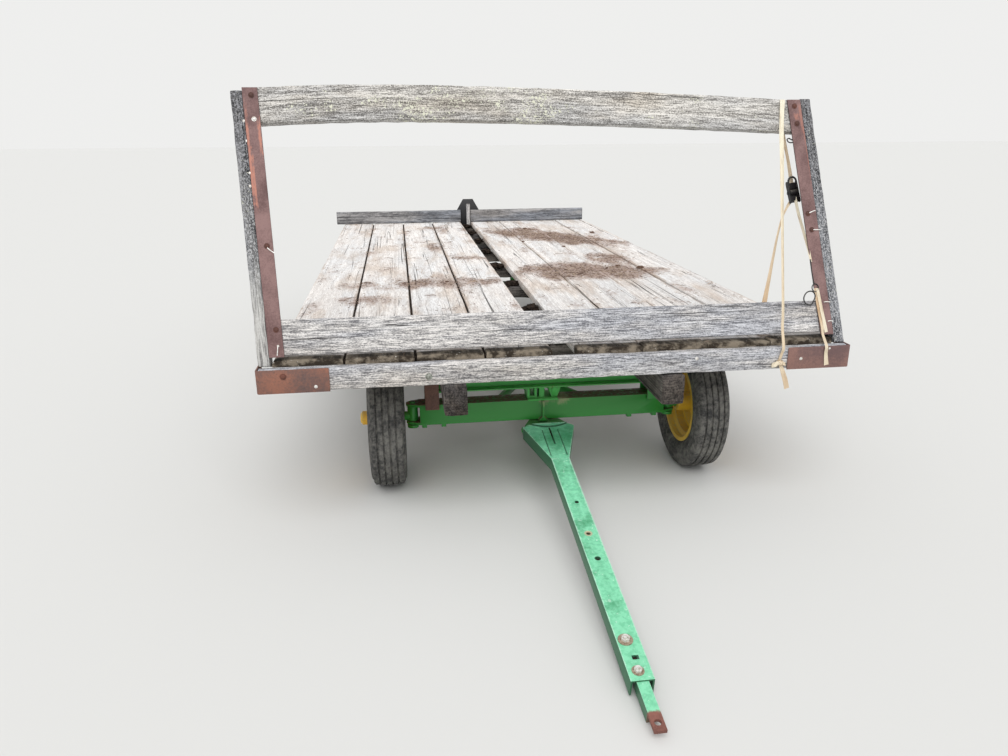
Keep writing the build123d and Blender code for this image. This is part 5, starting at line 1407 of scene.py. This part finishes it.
for half, *outline in ((0.0205, (-0.046, -0.0085), (0.02, -0.0105), (0.02, -0.0085), (-0.046, -0.0065)),
                       (0.0178, (0.004, 0.006), (0.03, 0.0105), (0.03, 0.0125), (0.004, 0.008)),
                       (0.0205, (-0.05, 0.006), (-0.028, 0.0085), (-0.028, 0.0105), (-0.05, 0.008))):
    ratchetParts.append(plateShape(outline, -half, half))
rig.replaces(tubePiece("ratchet_buckle", ratchetParts, "blackPaint", "root", "buckle_steel"), "ratchet")
print("strap and ratchet made")

# Slow-vehicle sheet: an orange triangle in dark red strips on the emblem's rear face
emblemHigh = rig.box("slow_vehicle_emblem")[1]
emblemPoints = np.unique(np.round([vert.co[:] for vert in nodes["slow_vehicle_emblem"].data.vertices], 5), axis=0)
rearOutline = [point for point in emblemPoints if point[1] > emblemHigh.y - 0.0005]
emblemMiddle = np.mean(rearOutline, axis=0)
rearOutline.sort(key=lambda point: math.atan2(point[2] - emblemMiddle[2], point[0] - emblemMiddle[0]))


def sheetShape(rings, back, front):
    count = len(rings[0])
    verts = [(point[0], y, point[2]) for y in (back, front) for ring in rings for point in ring]
    faces = []
    layer = len(rings) * count
    for index in range(count):
        after = (index + 1) % count
        if len(rings) == 2:
            for low in (0, layer):
                faces.append((low + index, low + after, low + count + after, low + count + index))
            faces.append((count + index, count + after, layer + count + after, layer + count + index))
        faces.append((index, after, layer + after, layer + index))
    if len(rings) == 1:
        faces += [tuple(range(count)), tuple(range(count, 2 * count))]
    return verts, faces


def shrunk(share):
    return [emblemMiddle + (point - emblemMiddle) * share for point in rearOutline]


for name, rings, finish, proud in (("emblem_border", (shrunk(0.985), shrunk(0.79)), "reflectorRed", 0.0008),
                                   ("emblem_triangle", (shrunk(0.775),), "signalOrange", 0.0005)):
    verts, faces = sheetShape(rings, emblemHigh.y - 0.0003, emblemHigh.y + proud)
    newPiece(name, verts, faces, finish, "root", "emblem_sheet", smooth=False)


# Nails and bolts: heads of five kinds stood on points, turned to face outwards
def fastenerTree():
    inputs = {"Points": "g", "Seed": "i", "Material": "m"}
    tree, given = newGroup("fastenerSet", inputs, {"Geometry": "g"}, "GeometryNodeTree")

    def moved(made, **change):
        return addNode(tree, "GeometryNodeTransform", {"Geometry": made[0], **change})[0]

    def cylinder(sides, radius, depth, lift):
        made = addNode(tree, "GeometryNodeMeshCylinder", {"Vertices": sides, "Radius": radius, "Depth": depth})
        return moved(made, Translation=(0, 0, lift))

    def dome(height):
        made = addNode(tree, "GeometryNodeMeshUVSphere", {"Segments": 14, "Rings": 8, "Radius": 1})
        return moved(made, Scale=(1, 1, height))

    def joined(*parts):
        made = addNode(tree, "GeometryNodeJoinGeometry")
        for part in parts:
            tree.links.new(part.socket, made.node.inputs[0])
        return made[0]

    heads = (dome(0.3), joined(cylinder(18, 1.3, 0.16, 0.08), dome(0.62)),
             joined(cylinder(20, 1.55, 0.2, 0.1), cylinder(6, 1, 0.8, 0.6), cylinder(12, 0.6, 1.5, 0.9)),
             joined(cylinder(6, 1, 0.8, 0.4), cylinder(12, 0.6, 1.25, 0.625)), cylinder(24, 1, 0.1, 0.05))
    spin = addNode(tree, "FunctionNodeRandomValue", {2: 0, 3: 6.283, "Seed": given["Seed"]}, data_type="FLOAT")[1]
    outwards = storedValue(tree, "facing", "FLOAT_VECTOR")
    facing = addNode(tree, "FunctionNodeAlignRotationToVector", {"Vector": outwards}, axis="Z")[0]
    spun = addNode(tree, "FunctionNodeAxisAngleToRotation", {"Axis": (0, 0, 1), "Angle": spin})[0]
    turns = {"Rotation": facing, "Rotate By": spun}
    turned = addNode(tree, "FunctionNodeRotateRotation", turns, rotation_space="LOCAL")[0]
    sets = []
    for kind, head in enumerate(heads):
        match = {"A": storedValue(tree, "kind"), "B": kind, "Epsilon": 0.1}
        chosen = addNode(tree, "FunctionNodeCompare", match, data_type="FLOAT", operation="EQUAL")[0]
        inputs = {"Points": given["Points"], "Selection": chosen, "Instance": head, "Rotation": turned}
        inputs["Scale"] = storedValue(tree, "size")
        sets.append(addNode(tree, "GeometryNodeInstanceOnPoints", inputs)[0])
    solid = addNode(tree, "GeometryNodeRealizeInstances", {"Geometry": joined(*sets)})[0]
    return endPiece(tree, solid, given["Material"])


fasteners = fastenerTree()
surfaces = {}


def seated(piece, place, facing):
    # Where a line along the fastener's axis meets the piece that carries it
    if piece not in surfaces:
        mesh = bpy.data.objects[piece].data
        faces = [tuple(face.vertices) for face in mesh.polygons]
        surfaces[piece] = BVHTree.FromPolygons([vert.co for vert in mesh.vertices], faces)
    hit = surfaces[piece].ray_cast(place + facing * 0.04, -facing, 0.1)[0]
    return hit if hit else place


def fastenerPiece(name, rows, finish, body, slot, seed):
    start = bpy.data.meshes.new(name + "Points")
    kinds, sizes, places, facings, pieces = zip(*rows)
    facings = [facing.normalized() for facing in facings]
    start.from_pydata([tuple(seated(*spot)) for spot in zip(pieces, places, facings)], [], [])
    for label, values in (("kind", kinds), ("size", sizes)):
        start.attributes.new(label, "FLOAT", "POINT").data.foreach_set("value", [float(value) for value in values])
    flat = np.array([tuple(facing) for facing in facings], np.float32).ravel()
    start.attributes.new("facing", "FLOAT_VECTOR", "POINT").data.foreach_set("vector", flat)
    made = growMesh(name, fasteners, {"Seed": seed, "Material": materials[finish]}, body, slot, start)
    made.data.shade_smooth()
    made.data.set_sharp_from_angle(angle=math.radians(35))
    return made


nailHead, carriageBolt, hexBolt, plainNut, washer = range(5)
frontward = -rearward
ironBolts = ((-1.245, 1.077, "right"), (-1.213, 0.469, "right"), (-1.194, 0.129, "right"), (1.075, 1.029, "left"),
             (1.084, 0.952, "left"), (1.12, 0.555, "left"), (1.135, 0.483, "left"))
rustedHeads = [(carriageBolt, 0.009, headPoint(x, rise, 0.006), outFront, "steel_headboard_iron_" + side)
               for x, rise, side in ironBolts]
rustedHeads.append((carriageBolt, 0.01, boardPoint(-1.171, 0.028), frontward, "steel_front_bracket_right"))
deckNails = dict(inset=0.04, size=0.0048, seed=4, strayAcross=0.012, strayBack=0.015)
memberPlaces = (0.27, 0.96, 1.65, 2.36, 3.07, 3.7, 4.25, 4.8)
scatter = np.random.default_rng(deckNails["seed"])
for side in sides:
    low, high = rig.box("deck_planks_" + side)
    pitch = (high.x - low.x) / 4
    for back in memberPlaces:
        for plank in range(4):
            for share in (deckNails["inset"], pitch - deckNails["inset"]):
                aside = scatter.uniform(-deckNails["strayAcross"], deckNails["strayAcross"])
                behind = scatter.uniform(-deckNails["strayBack"], deckNails["strayBack"])
                place = Vector((low.x + pitch * plank + share + aside, deckFront + back + behind, deckTop))
                rustedHeads.append((nailHead, deckNails["size"], place, upward, "planks_" + side))
fastenerPiece("rusted_heads", rustedHeads, "rustedBolt", "root", "rusty_steel", 1)
brightHeads = [
    (carriageBolt, 0.0075, headPoint(-1.238, 0.981, 0.006), outFront, "steel_headboard_iron_right"),
    (carriageBolt, 0.0055, boardPoint(-1.045, 0.076), frontward, "steel_front_bracket_right"),
    (carriageBolt, 0.0056, boardPoint(1.05, 0.052), frontward, "steel_front_bracket_left"),
    (nailHead, 0.005, boardPoint(1.18, 0.011), frontward, "steel_front_bracket_left"),
    (nailHead, 0.008, boardPoint(0.572, 0.033), frontward, "wood_front_board"),
    (nailHead, 0.005, headPoint(-1.189, 0.063, 0.006), outFront, "steel_headboard_iron_right"),
]
dullHeads = [(carriageBolt, 0.0115, boardPoint(-0.586, 0.057), frontward, "wood_front_board")]
brightHeads += [(nailHead, 0.006, headPoint(x, rise, -0.01), outFront, "wood_headboard_post_right")
                for x, rise in ((-1.279, 0.974), (-1.273, 0.894), (-1.266, 0.765), (-1.267, 0.712))]
fastenerPiece("bright_heads", brightHeads, "zincSteel", "root", "rusty_steel", 2)
fastenerPiece("dull_heads", dullHeads, "oldSteel", "root", "rusty_steel", 4)
for name, kind, finish, sizes in (("tongue_washers", washer, "tanSteel", (0.0255, 0.0205)),
                                  ("tongue_nuts", plainNut, "zincSteel", (0.015, 0.0135))):
    tongueBolts = [(kind, size, tonguePoint(x, along, 0.03), tongueUp, "steel_tongue_channel")
                   for size, x, along in zip(sizes, (-0.009, -0.005), (1.423, 1.5524))]
    fastenerPiece(name, tongueBolts, finish, "tongue", "tongue_paint", 5)

# Bent nails clinched over the irons
bentNails = []
for points in (((-1.212, 0.462), (-1.199, 0.45), (-1.185, 0.44)), ((-1.19, 0.062), (-1.1915, 0.045), (-1.194, 0.024)),
               ((1.122, 0.556), (1.136, 0.562), (1.153, 0.568)), ((1.137, 0.483), (1.155, 0.4825), (1.174, 0.482)),
               ((1.178, 0.161), (1.193, 0.162), (1.209, 0.16)), ((1.194, 0.075), (1.206, 0.077), (1.219, 0.074))):
    bentNails.append(tubeShape([headPoint(x, rise, 0.0085) for x, rise in points], 0.0022, False, 4, 6))
tubePiece("bent_nails", bentNails, "nailSteel", "root", "rusty_steel")

# Lug bolts of the wheels: five on each disc, on its outward face
lugSetup = dict(count=5, circle=0.067, size=0.0085, out=0.033)
for name in nodes:
    if name.startswith("rim"):
        low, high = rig.box(name)
        middle = (low + high) / 2
        outside = Vector((1 if middle.x > deckMiddle else -1, 0, 0))
        lugs = []
        for step in range(lugSetup["count"]):
            angle = 2 * math.pi * (step + 0.25) / lugSetup["count"]
            spoke = Vector((0, math.sin(angle), math.cos(angle))) * lugSetup["circle"]
            place = middle + outside * lugSetup["out"] + spoke
            lugs.append((hexBolt, lugSetup["size"], place, outside, "steel_" + name))
        fastenerPiece("lugs_" + name, lugs, "wheelYellow", bodyOf[name], slotOf[name], 3)
print("fasteners set:", len(rustedHeads) + len(brightHeads))


# Chaff: bent straws strewn by the density stored on a sheet over the deck, and a few clods
def chaffTree():
    sizes = ("Density", "Length", "Thickness", "Lift")
    inputs = {"Sheet": "g", **dict.fromkeys(sizes, "f"), "Seed": "i", "Material": "m"}
    tree, given = newGroup("chaffScatter", inputs, {"Geometry": "g"}, "GeometryNodeTree")
    spread = {"Mesh": given["Sheet"], "Density": storedValue(tree, "chaff") ** 2.4 * given["Density"],
              "Seed": given["Seed"]}
    points = addNode(tree, "GeometryNodeDistributePointsOnFaces", spread, distribute_method="RANDOM")[0]

    def along(part, lift):
        return addNode(tree, "ShaderNodeCombineXYZ", {0: given["Length"] * part, 2: given["Length"] * lift})[0]

    bend = {"Resolution": 3, "Start": along(-0.5, 0), "Middle": along(0.05, 0.16), "End": along(0.5, 0.03)}
    line = addNode(tree, "GeometryNodeCurveQuadraticBezier", bend)[0]
    size = {"Resolution": 3, "Radius": given["Thickness"]}
    ring = addNode(tree, "GeometryNodeCurvePrimitiveCircle", size, mode="RADIUS")[0]
    straw = addNode(tree, "GeometryNodeCurveToMesh", {"Curve": line, "Profile Curve": ring, "Fill Caps": True})[0]

    def chance(low, high, shift, kind="FLOAT"):
        lowest, highest, output = (0, 1, 0) if kind == "FLOAT_VECTOR" else (2, 3, 1)
        inputs = {"Seed": given["Seed"] + shift, lowest: low, highest: high}
        return addNode(tree, "FunctionNodeRandomValue", inputs, data_type=kind)[output]

    turn = chance((-0.12, -0.16, 0), (0.12, 0.16, 6.283), 3, "FLOAT_VECTOR")
    strewn = {"Points": points, "Instance": straw, "Rotation": turn, "Scale": chance(0.25, 1.3, 5)}
    strewn = addNode(tree, "GeometryNodeInstanceOnPoints", strewn)[0]
    toned = storeValue(tree, strewn, "boardTone", chance(0, 1, 7), domain="INSTANCE")
    solid = addNode(tree, "GeometryNodeRealizeInstances", {"Geometry": toned})[0]
    lift = addNode(tree, "ShaderNodeCombineXYZ", {2: given["Lift"]})[0]
    lifted = addNode(tree, "GeometryNodeSetPosition", {"Geometry": solid, "Offset": lift})[0]
    return endPiece(tree, lifted, given["Material"])


# The sheet follows the planks' tops, and has no chaff over a gap
def chaffSheet(side, pitch=0.03):
    low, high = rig.box("deck_planks_" + side)
    seated("planks_" + side, low, upward)
    across = np.arange(low.x + 0.01, high.x - 0.005, pitch)
    back = np.arange(low.y + 0.03, high.y - 0.02, pitch)
    verts = []
    for y in back:
        for x in across:
            hit = surfaces["planks_" + side].ray_cast(Vector((x, y, deckTop + 0.05)), -upward, 0.08)[0]
            verts.append((x, y, hit.z if hit else deckTop))
    count = len(across)
    faces = [(corner, corner + 1, corner + count + 1, corner + count)
             for row in range(len(back) - 1) for corner in range(row * count, (row + 1) * count - 1)]
    mesh = bpy.data.meshes.new("chaffSheet" + side)
    mesh.from_pydata(verts, [], faces)
    storeChaff(mesh, "chaff")
    return mesh


straws = chaffTree()
chaffSetup = {
    "fine": {"Density": 8500.0, "Length": 0.014, "Thickness": 0.001, "Lift": 0.0009, "Seed": 11},
    "long": {"Density": 450.0, "Length": 0.055, "Thickness": 0.0013, "Lift": 0.0018, "Seed": 23},
}
strawFaces = 0
for side in sides:
    for name, made in chaffSetup.items():
        inputs = {**made, "Material": materials["chaff"]}
        strewn = growMesh(f"chaff_{name}_{side}", straws, inputs, "root", "weathered_plank", chaffSheet(side))
        strawFaces += len(strewn.data.polygons)


def clodShape(middle, radius, seed):
    shape = bmesh.new()
    bmesh.ops.create_icosphere(shape, subdivisions=3, radius=radius)
    for vert in shape.verts:
        push = 1 + 0.5 * noise.noise(vert.co * 60 + Vector((seed, 0, 0))) + 0.3 * noise.noise(vert.co * 160)
        vert.co = Vector((vert.co.x * push, vert.co.y * push * 0.8, vert.co.z * push * 0.5))
    verts = [middle + vert.co for vert in shape.verts]
    faces = [tuple(vert.index for vert in face.verts) for face in shape.faces]
    shape.free()
    return verts, faces


clods = [clodShape(deckPoint(x, y, size * 0.3), size, seed) for x, y, size, seed in (
    (0.798, 2.001, 0.014, 1), (0.923, 1.898, 0.022, 2), (1.053, 3.755, 0.02, 3), (0.503, 4.156, 0.016, 4),
    (0.7, 1.93, 0.01, 5), (0.35, 3.3, 0.012, 6), (0.62, 2.95, 0.014, 7), (-0.4, 1.62, 0.01, 8))]
tubePiece("clods", clods, "chaff", "root", "weathered_plank")
# Dark clods in the gap between the panels: debris on the cross-members, near black to stand in for the shade under the
# deck
gapHalf = (leftLow.x - rightHigh.x) / 2
gapDebrisAndShade = dict(each=5, aside=0.55, smallest=0.45, largest=0.75, strayBack=0.03)
debrisAndShade = []
for index, back in enumerate(memberPlaces):
    for step in range(gapDebrisAndShade["each"]):
        x = deckMiddle + scatter.uniform(-gapDebrisAndShade["aside"], gapDebrisAndShade["aside"]) * gapHalf
        size = gapHalf * scatter.uniform(gapDebrisAndShade["smallest"], gapDebrisAndShade["largest"])
        stray = scatter.uniform(-gapDebrisAndShade["strayBack"], gapDebrisAndShade["strayBack"])
        place = Vector((x, deckFront + back + stray, leftLow.z + size * 0.25))
        debrisAndShade.append(clodShape(place, size, index + step * 0.37))
tubePiece("gap_debris", debrisAndShade, "packedDirt", "root", "rough_timber")
# Dark plugs in the tongue's two holes, standing in for the shade seen through them
holeDirtAndShade = [clodShape(tonguePoint(0, along, 0.0225), 0.0095, 9 + along)
         for along in (tongueWear["roundHole"], tongueWear["squareHole"])]
tubePiece("hole_dirt", holeDirtAndShade, "packedDirt", "tongue", "tongue_paint")
print("chaff strewn:", strawFaces, "faces")

# Camera at the photo's place: yaw toward the wagon's left, then down, then roll
cameraSetup = {"place": (-0.679, -3.078, 0.891), "yaw": 7.658, "down": 17.96, "roll": -0.328, "focal": 764.07,
               "imageWidth": 1008}
yaw, down, roll = (math.radians(cameraSetup[key]) for key in ("yaw", "down", "roll"))
camera = newObject("camera", bpy.data.cameras.new("camera"))
camera.data.sensor_width = 36
camera.data.lens = 36 * cameraSetup["focal"] / cameraSetup["imageWidth"]
camera.data.clip_end = 500
right = Vector((math.cos(yaw), -math.sin(yaw), 0))
ahead = Vector((math.sin(yaw) * math.cos(down), math.cos(yaw) * math.cos(down), -math.sin(down)))
above = right.cross(ahead)
turnedRight = math.cos(roll) * right + math.sin(roll) * above
turnedUp = -math.sin(roll) * right + math.cos(roll) * above
basis = Matrix((turnedRight, turnedUp, -ahead)).transposed()
camera.matrix_world = Matrix.Translation(deckPoint(*cameraSetup["place"])) @ basis.to_4x4()
bpy.context.scene.camera = camera

# Floor, soft sky and one broad lamp
floorMesh = bpy.data.meshes.new("floor")
floorMesh.from_pydata([(-90, -90, 0), (90, -90, 0), (90, 90, 0), (-90, 90, 0)], [], [(0, 1, 2, 3)])
floorPaint = bpy.data.materials.new("floorPaint")
floorPaint.use_nodes = True
floorShader = floorPaint.node_tree.nodes["Principled BSDF"].inputs
floorShader["Base Color"].default_value = (0.68, 0.68, 0.665, 1)
floorShader["Roughness"].default_value = 0.9
floorMesh.materials.append(floorPaint)
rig.stage(newObject("floor", floorMesh))

skySetup = {"light": (0.74, 0.74, 0.74), "shown": (0.86, 0.86, 0.85), "sun": 1.8, "softness": 50,
            "sunTilt": (32, -18, 20)}
world = bpy.data.worlds.new("sky")
bpy.context.scene.world = world
world.use_nodes = True
sky = world.node_tree
paths = addNode(sky, "ShaderNodeLightPath")
seen = maxOf(maxOf(paths["Is Camera Ray"], paths["Is Glossy Ray"]), paths["Is Transmission Ray"])
sky.links.new(blend(seen, skySetup["light"], skySetup["shown"]).socket, sky.nodes["Background"].inputs["Color"])
sun = newObject("sun", bpy.data.lights.new("sun", "SUN"))
sun.data.energy = skySetup["sun"]
sun.data.angle = math.radians(skySetup["softness"])
sun.rotation_euler = [math.radians(angle) for angle in skySetup["sunTilt"]]
bpy.context.scene.view_settings.view_transform = "Standard"
print("camera and lights set")

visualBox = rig.bounds()
with open("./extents.json", "w") as out:
    json.dump({"cad": [list(corner) for corner in cadBox], "visual": [list(corner) for corner in visualBox]}, out)
